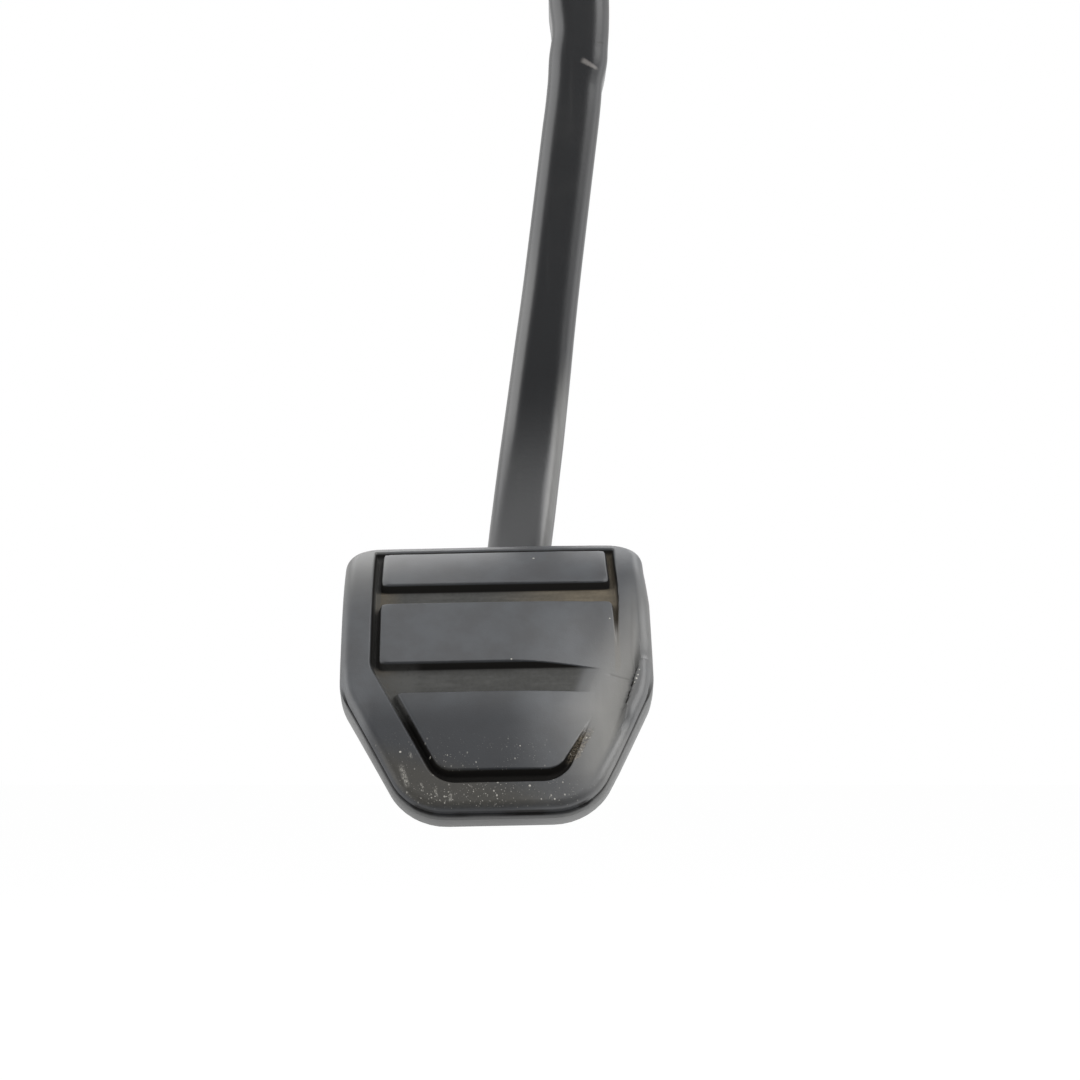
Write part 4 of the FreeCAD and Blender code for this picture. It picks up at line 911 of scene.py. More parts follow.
class Finishes(Enum):
    """The finishes of this pedal, each named for the stuff it is."""

    ARM = ArmPaint()
    BRACKET = DipCoat()
    WELD = WeldMetal()
    RUBBER = WornRubber()
    ZINC = Metal("zinc_plate", base=(0.60, 0.59, 0.55, 1.0), dull=(0.36, 0.34, 0.29, 1.0), roughness=0.28,
                 lines=Mottle(1.0, 3.0, 0.6, (60.0, 900.0, 900.0)))
    SPRING = Metal("spring_wire", base=(0.24, 0.235, 0.23, 1.0), dull=(0.10, 0.095, 0.09, 1.0),
                   roughness=0.30, lines=Mottle(1.0, 3.0, 0.6, (900.0, 900.0, 900.0)))
    BRASS = Metal("tinned_brass", base=(0.70, 0.62, 0.45, 1.0), dull=(0.45, 0.38, 0.24, 1.0), roughness=0.26,
                  lines=Mottle(1.0, 3.0, 0.6, (900.0, 60.0, 900.0)))
    BUFFER = Moulded("matt_rubber", base=(0.014, 0.014, 0.014, 1.0), shade=(0.045, 0.042, 0.038, 1.0),
                     roughness=0.68, grain=Mottle(900.0, 2.0, 0.6), grain_height=0.00006)
    HOUSING = Moulded("black_plastic", base=(0.016, 0.016, 0.018, 1.0), shade=(0.032, 0.031, 0.030, 1.0),
                      roughness=0.40)
    NATURAL = Moulded("natural_plastic", base=(0.66, 0.64, 0.57, 1.0), shade=(0.50, 0.46, 0.37, 1.0),
                      roughness=0.36)
    NYLON = Moulded("natural_nylon", base=(0.70, 0.66, 0.55, 1.0), shade=(0.52, 0.45, 0.32, 1.0),
                    roughness=0.38)


# Mesh making


class Shell:
    """A mesh gathered in millimetres, then made into an object."""

    def __init__(self) -> None:
        """Start empty."""
        self.points: list[np.ndarray] = []
        self.faces: list[tuple[int, ...]] = []
        self.count = 0

    def add_points(self, points: np.ndarray) -> int:
        """Add points.

        Args:
            points: the points, in any array of x, y, z.

        Returns:
            The number of the first.
        """
        first = self.count
        self.points.append(np.asarray(points, float).reshape(-1, 3))
        self.count += len(self.points[-1])
        return first

    def join_loops(self, first: Sequence[int], second: Sequence[int], closed: bool = True) -> None:
        """Add a strip of faces between two loops of the same length.

        Args:
            first: point numbers of one loop.
            second: point numbers of the next.
            closed: whether the loops close on themselves.
        """
        size = len(first)
        for i in range(size if closed else size - 1):
            j = (i + 1) % size
            self.faces.append((first[i], first[j], second[j], second[i]))

    def grid(self, points: np.ndarray) -> np.ndarray:
        """Add a sheet of points in rows and columns.

        Args:
            points: the points, row by row.

        Returns:
            The points' numbers, in the same rows and columns.
        """
        rows, columns = points.shape[:2]
        number = self.add_points(points) + np.arange(rows * columns).reshape(rows, columns)
        for row, below in zip(number, number[1:]):
            self.join_loops(row.tolist(), below.tolist(), closed=False)
        return number

    def loft(self, rings: Sequence[np.ndarray], closing_turn: Optional[int] = None) -> None:
        """Add a tube through rings of points, with a cap at each end or running into itself.

        Args:
            rings: closed rings with as many points each.
            closing_turn: how many points the first ring is turned where the last one runs into it, or
                nothing for a tube with caps.
        """
        loops = []
        for ring in rings:
            first = self.add_points(ring)
            loops.append(list(range(first, first + len(ring))))
        if closing_turn is not None:
            loops.append(loops[0][closing_turn:] + loops[0][:closing_turn])
        for one, other in zip(loops, loops[1:]):
            self.join_loops(one, other)
        if closing_turn is None:
            self.faces += [tuple(reversed(loops[0])), tuple(loops[-1])]

    def build(self, name: str, finish: Finish, sharp: float = 40.0) -> bpy.types.Object:
        """Make the object.

        Args:
            name: its name.
            finish: its finish.
            sharp: edges that turn by more degrees stay sharp.

        Returns:
            The object, linked to the scene.
        """
        mesh = bpy.data.meshes.new(name)
        mesh.from_pydata((np.concatenate(self.points) * MM).tolist(), [], self.faces)
        self.smooth(mesh, sharp)
        mesh.materials.append(finish.material())
        made = bpy.data.objects.new(name, mesh)
        bpy.context.scene.collection.objects.link(made)
        return made

    @staticmethod
    def smooth(mesh: bpy.types.Mesh, sharp: float) -> None:
        """Turn faces outwards and shade them smooth but for sharp edges.

        Args:
            mesh: the mesh.
            sharp: edges that turn by more degrees stay sharp.
        """
        work = bmesh.new()
        work.from_mesh(mesh)
        bmesh.ops.recalc_face_normals(work, faces=work.faces)
        for face in work.faces:
            face.smooth = True
        for edge in work.edges:
            edge.smooth = len(edge.link_faces) < 2 or edge.calc_face_angle(0.0) < math.radians(sharp)
        work.to_mesh(mesh)
        work.free()


@dataclass
class Rod:
    """A round rod or bead along a path: its rings, with rounded ends."""

    path: np.ndarray
    radius: Union[float, np.ndarray]
    sides: int
    closed: bool = False
    end_steps: int = 3
    end_turn: float = 86.0
    end_flatness: float = 0.5
    start_guide: Point = (0.31, 0.52, 0.79)
    sharp: float = 60.0

    def rings(self) -> list[np.ndarray]:
        """The rod's rings, carried along the path without twist.

        Returns:
            The rings, with those of its ends.
        """
        path = np.asarray(self.path, float)
        if self.closed:
            tangents = np.roll(path, -1, 0) - np.roll(path, 1, 0)
        else:
            tangents = np.gradient(path, axis=0)
        tangents /= np.linalg.norm(tangents, axis=1)[:, None]
        radii = np.broadcast_to(np.asarray(self.radius, float), (len(path),))
        aside = np.cross(tangents[0], self.start_guide)
        aside /= np.linalg.norm(aside)
        angles = np.linspace(0.0, 2 * math.pi, self.sides, endpoint=False)
        rings = []
        for point, tangent, radius in zip(path, tangents, radii):
            aside = aside - tangent * aside.dot(tangent)
            aside /= np.linalg.norm(aside)
            third = np.cross(tangent, aside)
            circle = np.cos(angles)[:, None] * aside + np.sin(angles)[:, None] * third
            rings.append(point + radius * circle)
        if self.closed:
            return rings
        start = self._end(rings[0], path[0], -tangents[0] * radii[0])
        end = self._end(rings[-1], path[-1], tangents[-1] * radii[-1])
        return start[::-1] + rings + end

    def _end(self, ring: np.ndarray, centre: np.ndarray, outward: np.ndarray) -> list[np.ndarray]:
        """Rings that round off one end.

        Args:
            ring: the end's ring.
            centre: its centre.
            outward: the direction past the end, as long as the rod's radius.

        Returns:
            Smaller rings, the last almost a point.
        """
        angles = np.arange(1, self.end_steps + 1) / self.end_steps * math.radians(self.end_turn)
        return [centre + (ring - centre) * math.cos(angle) + outward * self.end_flatness * math.sin(angle)
                for angle in angles]

    def build(self, name: str, finish: Finish) -> bpy.types.Object:
        """The rod as an object.

        Args:
            name: its name.
            finish: its finish.

        Returns:
            The object.
        """
        shell = Shell()
        rings = self.rings()
        shell.loft(rings, self._closing_turn(rings) if self.closed else None)
        return shell.build(name, finish, self.sharp)

    def _closing_turn(self, rings: list[np.ndarray]) -> int:
        """How many sides the first ring is turned against the last."""
        turned = [np.roll(rings[0], -turn, 0) for turn in range(self.sides)]
        return int(np.argmin([np.linalg.norm(rings[-1] - ring, axis=1).sum() for ring in turned]))


def rounded_path(corners: Sequence[Union[Point, np.ndarray]], radius: float, steps: int = 8) -> np.ndarray:
    """A path through corners, each rounded.

    Args:
        corners: the path's corners.
        radius: how far from a corner its curve starts.
        steps: points on each curve.

    Returns:
        The path's points.
    """
    corners = np.array(corners, float)
    points = [corners[0]]
    for before, corner, after in zip(corners, corners[1:], corners[2:]):
        start, end = (corner + (other - corner) / np.linalg.norm(other - corner) * radius
                      for other in (before, after))
        for t in np.linspace(0.0, 1.0, steps):
            points.append((1 - t) ** 2 * start + 2 * t * (1 - t) * corner + t ** 2 * end)
    return np.array([*points, corners[-1]])


def circle_round_x(centre: Point, radius: float, sides: int) -> np.ndarray:
    """Points on a circle round a line along x, starting at its front."""
    angles = np.linspace(0.0, 2 * math.pi, sides, endpoint=False)
    return np.array(centre) + radius * np.stack([np.zeros(sides), np.cos(angles), np.sin(angles)], -1)


# The pad


@dataclass(frozen=True)
class PadFace:
    """The pad's curved face: across it, down it, and depth into it."""

    crown: Point = (-19.2, -164.3, -230.2)
    tilt: float = -41.0
    roll: float = -1.4
    crown_length: float = 28.0
    upper_bend: float = 48.6
    lower_bend: float = 192.0

    def world(self, across: np.ndarray, down: np.ndarray, depth: np.ndarray) -> np.ndarray:
        """Points in the part's frame.

        Args:
            across: to the right of the pad's middle.
            down: along the face from its upper edge.
            depth: into the face.

        Returns:
            One row of x, y, z for each.
        """
        across, down, depth = np.broadcast_arrays(*(np.asarray(v, float) for v in (across, down, depth)))
        bend = np.where(down < self.crown_length, self.upper_bend, self.lower_bend)
        angle = (self.crown_length - down) / bend
        curved = np.stack([across, bend - (bend - depth) * np.cos(angle), (bend - depth) * np.sin(angle)], -1)
        return curved @ self._turn().T + np.array(self.crown)

    def depth_of(self, points: np.ndarray) -> np.ndarray:
        """How deep points of the part's frame lie in the face.

        Args:
            points: the points.

        Returns:
            Their depths.
        """
        _, y, z = np.moveaxis((np.asarray(points, float) - np.array(self.crown)) @ self._turn(), -1, 0)
        bend = np.where(z > 0, self.upper_bend, self.lower_bend)
        return bend - np.hypot(bend - y, z)

    def _turn(self) -> np.ndarray:
        """The face's roll and then its tilt, as a matrix.

        Returns:
            The matrix.
        """
        cos, sin = math.cos(math.radians(self.tilt)), math.sin(math.radians(self.tilt))
        tilted = np.array([(1.0, 0.0, 0.0), (0.0, cos, -sin), (0.0, sin, cos)])
        cos, sin = math.cos(math.radians(self.roll)), math.sin(math.radians(self.roll))
        rolled = np.array([(cos, 0.0, sin), (0.0, 1.0, 0.0), (-sin, 0.0, cos)])
        return tilted @ rolled


def step_up(value: np.ndarray, low: Union[float, np.ndarray], high: Union[float, np.ndarray]) -> np.ndarray:
    """A smooth step from 0 at low to 1 at high, for arrays."""
    share = np.clip((value - low) / (high - low), 0.0, 1.0)
    return share * share * (3.0 - 2.0 * share)


def within(value: np.ndarray, places: Band) -> np.ndarray:
    """A soft band from 0 to 1 and back, for arrays, with its four places from low to high."""
    start, full, waning, end = places
    return step_up(value, start, full) * (1.0 - step_up(value, waning, end))


@dataclass
class RoundedShape:
    """A flat convex shape with rounded corners, seen from the front of the pad."""

    corners: list[Pair]
    radius: float
    start: float
    upper_radius: float = 1.0

    def distance(self, across: np.ndarray, down: np.ndarray) -> np.ndarray:
        """Distance from the shape's edge, negative inside it.

        Args:
            across: to the right of the pad's middle.
            down: along the face.

        Returns:
            The distances.
        """
        outline = self._shrunk()
        nearest = np.full(across.shape, np.inf)
        inside = np.full(across.shape, -np.inf)
        for (ax, ay), (bx, by) in zip(outline, outline[1:] + outline[:1]):
            ex, ey = bx - ax, by - ay
            length = math.hypot(ex, ey)
            t = np.clip(((across - ax) * ex + (down - ay) * ey) / length ** 2, 0.0, 1.0)
            nearest = np.minimum(nearest, np.hypot(across - ax - t * ex, down - ay - t * ey))
            inside = np.maximum(inside, ((across - ax) * ey - (down - ay) * ex) / length)
        sides = np.where(inside < 0, -nearest, nearest) - self.radius + self.upper_radius
        top = self.start - down + self.upper_radius
        corner = np.hypot(np.maximum(sides, 0.0), np.maximum(top, 0.0))
        return corner + np.minimum(np.maximum(sides, top), 0.0) - self.upper_radius

    def _shrunk(self) -> list[Pair]:
        """The corners moved inwards by the corner radius. They run round with the inside on one hand.

        Returns:
            The new corners.
        """
        moved = []
        size = len(self.corners)
        for i, (px, py) in enumerate(self.corners):
            ax, ay = self.corners[i - 1]
            bx, by = self.corners[(i + 1) % size]
            one = np.array([py - ay, -(px - ax)]) / math.hypot(px - ax, py - ay)
            two = np.array([by - py, -(bx - px)]) / math.hypot(bx - px, by - py)
            both = (one + two) / (1.0 + one.dot(two))
            moved.append((px - both[0] * self.radius, py - both[1] * self.radius))
        return moved


@dataclass
class PadCover:
    """The pad's rubber cover: rim, three blocks, grooves, wear, and the lip round the steel plate."""

    face: PadFace = field(default_factory=PadFace)
    length: float = 76.4
    half_width: float = 33.7
    chamfer_start: float = 47.5
    chamfer: float = 26.8
    rim_edge: float = 2.0
    top_corner: float = 7.5
    side_corner: float = 16.0
    bottom_corner: float = 13.0
    rim_side: float = 6.0
    rim_slope: float = 8.0
    rim_top: float = 3.7
    rim_bottom: float = 6.3
    rim_corner: float = 7.0
    rim_top_round: float = 0.4
    side_groove: float = 1.9
    block_edges: tuple[Pair, ...] = ((4.9, 18.4), (24.4, 41.1), (48.5, 67.4))
    block_corners: Point = (1.2, 1.0, 4.5)
    groove_depth: float = 2.5
    wall_reach: float = 0.85
    wall_round: float = 0.4
    worn_wall_round: float = 0.35
    worn_wall_loss: float = 0.02
    wear_depth: float = 2.95
    wear_left: float = -1.0
    wear_full: float = 28.1
    wear_power: float = 1.6
    wear_lean: float = 0.35
    wear_lean_from: float = 42.0
    wear_down: Band = (14.0, 41.8, 52.0, 70.5)
    ledge_left: Pair = (1.3, 0.4)
    ledge_right: Pair = (2.2, 0.5)
    ledge_steep: Band = (38.0, 43.0, 51.0, 57.0)
    swell: float = 0.06
    swell_across: Pair = (2.0, 20.0)
    fold_line: tuple[Pair, ...] = (
        (20.0, 31.4), (36.0, 31.0), (42.2, 30.75), (43.8, 30.45), (45.2, 29.85), (47.18, 29.49),
        (48.9, 28.75), (50.6, 28.2), (52.14, 27.52), (60.0, 24.4), (70.0, 19.0))
    fold_ragged: Band = (41.0, 43.0, 52.0, 54.0)
    fold_waves: tuple[Point, ...] = ((0.08, 3.1, 0.0), (0.05, 7.3, 0.8))
    crack_down: Band = (41.9, 43.2, 51.1, 52.6)
    crack_width: Pair = (0.08, 0.42)
    crack_depth: float = 0.6
    crease_ends: tuple[Pair, Pair] = ((24.94, 43.5), (29.45, 45.03))
    crease_across: Band = (24.0, 25.2, 29.0, 29.8)
    crease_width: Pair = (0.05, 0.4)
    crease_depth: float = 0.12
    lip_profile: tuple[Pair, ...] = (
        (0.0, 2.5), (0.22, 2.8), (0.3, 3.0), (0.1, 3.12), (-0.3, 3.2), (-0.62, 3.5), (-0.8, 4.2), (-0.8, 7.2),
        (-0.55, 8.0), (0.0, 8.4), (3.0, 8.4), (8.2, 8.4), (8.2, 6.85), (2.2, 6.85), (2.2, 4.35))
    lip_start: Pair = (40.0, 50.0)
    lip_low: float = 0.42
    lip_low_from: float = -0.3
    shared_rings: int = 8
    wear_fade: float = 2.5
    side_bulge: float = 0.8
    side_depth: float = 1.15
    top_lift: tuple[Pair, ...] = (
        (-30.0, 0.37), (-26.0, 0.37), (-10.0, 0.5), (13.0, 0.8), (22.0, 0.6), (28.0, 0.3), (32.0, 0.0))
    top_lift_fade: Pair = (2.0, 11.0)
    right_reach: tuple[Pair, ...] = (
        (0.0, -0.75), (12.0, -0.75), (24.0, -0.25), (48.0, -0.4), (56.0, 0.0), (66.0, 0.45), (76.4, 0.45))
    right_reach_at: float = 30.0
    row_step: float = 1.0
    wall_row_step: float = 0.13
    crack_row_step: float = 0.22
    crack_rows: Pair = (41.6, 53.0)
    least_row_gap: float = 0.06
    corner_rows: int = 9
    column_counts: tuple[int, ...] = (24, 9, 4, 8, 22)
    wall_columns: Pair = (0.45, 0.8)
    least_columns: Band = (2.0, 1.5, 1.2, 0.7)
    sharp: float = 50.0

    def build(self) -> bpy.types.Object:
        """Make the cover.

        Returns:
            The rubber cover, riding with the pedal.
        """
        rows = self._rows()
        halves = np.array([self._edge(s)[0] for s in rows])
        across = self._columns(rows, halves)
        down = np.repeat(rows[:, None], across.shape[1], 1)
        depth, marks = self.depth(across, down)
        shell = Shell()
        number = shell.grid(self._placed(across, down, depth))
        places = [np.stack([across, down, depth], -1).reshape(-1, 3)]
        wears = [marks.reshape(-1, 3)]
        loop, edge = self._boundary(number, across, down, rows)
        start_depth = depth.reshape(-1)[loop]
        start_marks = marks.reshape(-1, 3)[loop] * (1.0, 0.0, 1.0)
        previous = loop
        lipped = step_up(edge[:, 1], *self.lip_start)
        for (lip_inset, lip_level), (plain_inset, plain_level) in zip(*self._profiles()):
            inset = plain_inset + (lip_inset - plain_inset) * lipped
            level = plain_level + (lip_level - plain_level) * lipped
            if lip_inset < self.lip_low_from:
                inset = inset - self.lip_low * np.maximum(edge[:, 3], 0.0) ** 2 * lipped
            out = self.rim_edge - inset
            x = edge[:, 0] + edge[:, 2] * out
            s = edge[:, 1] + edge[:, 3] * out
            if lip_inset > self.rim_edge:
                x = np.sign(x) * np.minimum(np.abs(x), self.half_width - inset)
                s = np.clip(s, inset, self.length - inset)
            deep = level + start_depth * np.maximum(0.0, 1.0 - level / self.wear_fade)
            ring = shell.add_points(self._placed(x, s, deep))
            numbers = list(range(ring, ring + len(loop)))
            shell.join_loops(previous, numbers)
            places.append(np.stack([x, s, deep], -1))
            wears.append(start_marks)
            previous = numbers
        shell.faces.append(tuple(previous))
        look = Finishes.RUBBER.value
        cover = shell.build("pad_cover", look, self.sharp)
        for name, parts in ((look.place_name, places), (look.wear_name, wears)):
            layer = cover.data.attributes.new(name, "FLOAT_VECTOR", "POINT")
            layer.data.foreach_set("vector", np.concatenate(parts).astype(np.float32).ravel())
        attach(cover, "pedal")
        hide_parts("pad_rubber")
        return cover

    def _profiles(self) -> tuple[list[Pair], list[Pair]]:
        """Inset and depth of each ring round the cover.

        Returns:
            The rings with a seam and lip, and those plainly rounded.
        """
        turns = np.radians((22.5, 45.0, 67.5, 90.0))
        lipped = [(self.rim_edge * (1 - math.sin(a)), self.rim_edge * (1 - math.cos(a))) for a in turns]
        lipped += list(self.lip_profile)
        count = len(lipped) - self.shared_rings
        reach = self.rim_edge + self.side_bulge
        deep = reach * self.side_depth
        turns = np.radians(90.0 * np.arange(1, count + 1) / count)
        plain = [(self.rim_edge - reach * math.sin(a), deep * (1 - math.cos(a))) for a in turns]
        return lipped, plain + lipped[-self.shared_rings:]

    def _placed(self, across: np.ndarray, down: np.ndarray, depth: np.ndarray) -> np.ndarray:
        """Points in the part's frame, with the slight lift of the top and the uneven right side.

        Args:
            across: places across the face.
            down: places down the face.
            depth: depths into the face.

        Returns:
            The points.
        """
        lift = np.interp(across, *np.array(self.top_lift).T) * (1.0 - step_up(down, *self.top_lift_fade))
        reach = np.interp(down, *np.array(self.right_reach).T) * np.maximum(across, 0.0) / self.right_reach_at
        return self.face.world(across + reach, down - lift, depth)

    def _slope(self, inset: float) -> tuple[float, float, float]:
        """The sloping edge as a line.

        Args:
            inset: how far inside the pad's edge it lies.

        Returns:
            Cosine, sine and reach of its outward normal.
        """
        angle = math.radians(self.chamfer)
        cos, sin = math.cos(angle), math.sin(angle)
        return cos, sin, self.half_width * cos + self.chamfer_start * sin - inset

    def _edge(self, s: float) -> tuple[float, float, float]:
        """The flat face's edge at one place down it.

        Args:
            s: the place down the face.

        Returns:
            Half width there, and the outward normal across and down.
        """
        inset = self.rim_edge
        cos, sin, reach = self._slope(inset)
        side = self.half_width - inset
        top_radius = self.top_corner - inset
        side_radius = self.side_corner - inset
        low_radius = self.bottom_corner - inset
        side_centre = (side - side_radius, (reach - side_radius - (side - side_radius) * cos) / sin)
        low_s = self.length - inset - low_radius
        low_centre = ((reach - low_radius - low_s * sin) / cos, low_s)
        if s < self.top_corner:
            rise = (self.top_corner - s) / top_radius
            level = math.sqrt(max(0.0, 1 - rise ** 2))
            return side - top_radius + top_radius * level, level, -rise
        if s < side_centre[1]:
            return side, 1.0, 0.0
        if s < side_centre[1] + side_radius * sin:
            fall = (s - side_centre[1]) / side_radius
            return side_centre[0] + side_radius * math.sqrt(1 - fall ** 2), math.sqrt(1 - fall ** 2), fall
        if s < low_centre[1] + low_radius * sin:
            return (reach - s * sin) / cos, cos, sin
        fall = min(1.0, (s - low_centre[1]) / low_radius)
        level = math.sqrt(max(0.0, 1 - fall ** 2))
        return low_centre[0] + low_radius * level, level, fall

    def _rows(self) -> np.ndarray:
        """Places down the face, dense at corners and at the grooves' walls.

        Returns:
            The places, from the top.
        """
        top, bottom = self.rim_edge, self.length - self.rim_edge
        places = list(np.arange(top, bottom, self.row_step)) + [bottom]
        low = self.bottom_corner - self.rim_edge
        quarter = np.linspace(0.0, 1.0, self.corner_rows)
        places += list(self.top_corner - (self.top_corner - top) * np.cos(quarter * math.pi / 2))
        start = math.radians(self.chamfer)
        places += list(bottom - low + low * np.sin(start + (math.pi / 2 - start) * quarter))
        low_rim = self.length - self.rim_bottom
        zones = [(self.rim_top - 0.4, self.block_edges[0][0] + 0.4), (low_rim - 1.0, low_rim + 0.5)]
        zones += [(start - 1.0, start + 0.5) for start, _ in self.block_edges[1:]]
        zones += [(end - 0.5, end + 1.0) for _, end in self.block_edges]
        zones.append((self.block_edges[2][1] - self.block_corners[2], self.block_edges[2][1]))
        for low, high in zones:
            places += list(np.arange(low, high, self.wall_row_step))
        places += list(np.arange(*self.crack_rows, self.crack_row_step))
        places = sorted(p for p in places if top <= p <= bottom)
        kept = [places[0]]
        for place in places[1:]:
            if place - kept[-1] > self.least_row_gap:
                kept.append(place)
        kept[-1] = bottom
        return np.array(kept)

    def _inner_edge(self, s: float, insets: Pair, low: float, corner: float) -> float:
        """Half width of an inner outline.

        Args:
            s: the place down the face.
            insets: its distances from the sides and from the sloping edges.
            low: where it ends.
            corner: its lower corner radius.

        Returns:
            The half width, held past the end.
        """
        cos, sin, reach = self._slope(insets[1])
        side = self.half_width - insets[0]
        at_low = low - corner
        centre = (reach - corner - at_low * sin) / cos
        s = min(s, low)
        if s > at_low + corner * sin:
            fall = min(1.0, (s - at_low) / corner)
            return centre + corner * math.sqrt(max(0.0, 1 - fall ** 2))
        return min(side, (reach - s * sin) / cos)

    def _columns(self, rows: np.ndarray, halves: np.ndarray) -> np.ndarray:
        """Places across the face for each row, with lines along the grooves' walls.

        Args:
            rows: the places down the face.
            halves: half of the flat face's width at each.

        Returns:
            One row of places across for each.
        """
        before, after = self.wall_columns
        rim_insets = (self.rim_side, self.rim_slope)
        block_insets = (self.rim_side + self.side_groove, self.rim_slope + self.side_groove)
        made = []
        block_low = self.block_edges[2][1]
        field_low = self.length - self.rim_bottom
        for s, half in zip(rows, halves):
            block = self._inner_edge(s, block_insets, block_low, self.block_corners[2])
            rim = self._inner_edge(s, rim_insets, field_low, self.rim_corner)
            knots = [0.0, block - before, block + after, rim - after, rim + before, half]
            limits = [0.0] + [half - gap for gap in self.least_columns] + [half]
            knots = np.maximum.accumulate(np.minimum(knots, limits))
            side = [0.0]
            for low, high, count in zip(knots, knots[1:], self.column_counts):
                side += list(np.linspace(low, high, count + 1)[1:])
            side = np.array(side)
            made.append(np.concatenate([-side[:0:-1], side]))
        return np.array(made)

    def _shapes(self) -> tuple[RoundedShape, list[RoundedShape]]:
        """The space inside the rim, and the blocks, each with square upper corners.

        Returns:
            The space's shape, and the blocks' shapes.
        """
        low = self.length - self.rim_bottom
        above = 30.0
        space = self._outline(self.rim_side, self.rim_slope, self.rim_top - above, low)
        blocks = []
        side, slope = self.rim_side + self.side_groove, self.rim_slope + self.side_groove
        for (start, end), corner in zip(self.block_edges, self.block_corners):
            blocks.append(RoundedShape(self._outline(side, slope, start - above, end), corner, start))
        return RoundedShape(space, self.rim_corner, self.rim_top, self.rim_top_round), blocks

    def _outline(self, side: float, slope: float, start: float, end: float) -> list[Pair]:
        """Corners of a shape that follows the pad's sides.

        Args:
            side: its distance from the sides.
            slope: its distance from the sloping edges.
            start: its upper edge.
            end: its lower edge.

        Returns:
            The corners, running round.
        """
        cos, sin, reach = self._slope(slope)
        half = self.half_width - side
        knee = (reach - half * cos) / sin
        right = [(half, start), (half, knee), ((reach - end * sin) / cos, end)]
        if knee <= start:
            right = [((reach - start * sin) / cos, start), ((reach - end * sin) / cos, end)]
        elif knee >= end:
            right = [(half, start), (half, end)]
        left = [(-x, s) for x, s in reversed(right)]
        return right + left

    def depth(self, across: np.ndarray, down: np.ndarray) -> tuple[np.ndarray, np.ndarray]:
        """Depth of the cover's front under its first face.

        Args:
            across: places across the face.
            down: places down the face.

        Returns:
            The depths, and for each place the depth worn off, the groove's own depth, and the distance
            to the right of the fold beside the worn hollow.
        """
        space, blocks = self._shapes()
        into_space = -space.distance(across, down)
        from_blocks = np.min([block.distance(across, down) for block in blocks], 0)
        into = np.minimum(into_space, from_blocks)
        groove = self.groove_depth * step_up(into, -self.wall_round, self.wall_reach)
        wear = self._wear(across, down)
        soft = self.worn_wall_round
        both = 0.5 * (groove + wear + np.sqrt((groove - wear) ** 2 + soft ** 2) - soft)
        both = np.maximum(both, np.maximum(groove, wear) - self.worn_wall_loss)
        fold = across - self._fold(down)
        marks = np.stack([wear, groove, fold], -1)
        return both + self._crack(fold, down) + self._crease(across, down), marks

    def _wear(self, across: np.ndarray, down: np.ndarray) -> np.ndarray:
        """Depth worn off by the driver's shoe, a long soft hollow on the right that ends at a ledge.

        Args:
            across: places across the face.
            down: places down the face.

        Returns:
            The depths.
        """
        leaned = across + self.wear_lean * np.maximum(down - self.wear_lean_from, 0.0)
        hollow = self.wear_depth * step_up(leaned, self.wear_left, self.wear_full) ** self.wear_power
        steep = within(down, self.ledge_steep)
        left, right = (far + (near - far) * steep for far, near in (self.ledge_left, self.ledge_right))
        kept = 1.0 - step_up(across - self._fold(down), -left, right)
        swell = np.abs(np.sin(across * 0.35 + 1.0) * np.sin(down * 0.23)) * self.swell
        swell = swell * step_up(np.abs(across), *self.swell_across)
        return hollow * within(down, self.wear_down) * kept + swell

    def _fold(self, down: np.ndarray) -> np.ndarray:
        """Place across of the fold where the worn hollow ends, ragged where the rubber has cracked."""
        wave = sum(height * np.sin(down * pace + shift) for height, pace, shift in self.fold_waves)
        return np.interp(down, *np.array(self.fold_line).T) + wave * within(down, self.fold_ragged)

    def _crack(self, fold: np.ndarray, down: np.ndarray) -> np.ndarray:
        """Depth of the short ragged crack along the fold."""
        beside = step_up(np.abs(fold), *self.crack_width)
        return self.crack_depth * within(down, self.crack_down) * (1.0 - beside)

    def _crease(self, across: np.ndarray, down: np.ndarray) -> np.ndarray:
        """Depth of the fine crease across the worn side.

        Args:
            across: places across the face.
            down: places down the face.

        Returns:
            The depths.
        """
        (left, high), (right, low) = self.crease_ends
        away = np.abs(down - high - (across - left) * (low - high) / (right - left))
        beside = step_up(away, *self.crease_width)
        return self.crease_depth * within(across, self.crease_across) * (1.0 - beside)

    def _boundary(self, number: np.ndarray, across: np.ndarray, down: np.ndarray, rows: np.ndarray
                  ) -> tuple[list[int], np.ndarray]:
        """The front's edge as a loop.

        Args:
            number: point numbers of the front's grid, from 0 because it is the mesh's first.
            across: places across of its points.
            down: places down of its points.
            rows: the places down the face.

        Returns:
            Point numbers, and for each its place and outward normal, across and down.
        """
        loop = [*number[0].tolist(), *number[1:, -1].tolist(),
                *number[-1, -2::-1].tolist(), *number[-2:0:-1, 0].tolist()]
        sides = np.array([self._edge(s)[1:] for s in rows])
        normal_x = np.zeros(across.shape)
        normal_s = np.zeros(across.shape)
        normal_x[:, -1], normal_s[:, -1] = sides[:, 0], sides[:, 1]
        normal_x[:, 0], normal_s[:, 0] = -sides[:, 0], sides[:, 1]
        normal_x[0], normal_s[0] = 0.0, -1.0
        normal_x[-1], normal_s[-1] = 0.0, 1.0
        parts = [values.reshape(-1)[loop] for values in (across, down, normal_x, normal_s)]
        return loop, np.stack(parts, -1)


# The arm


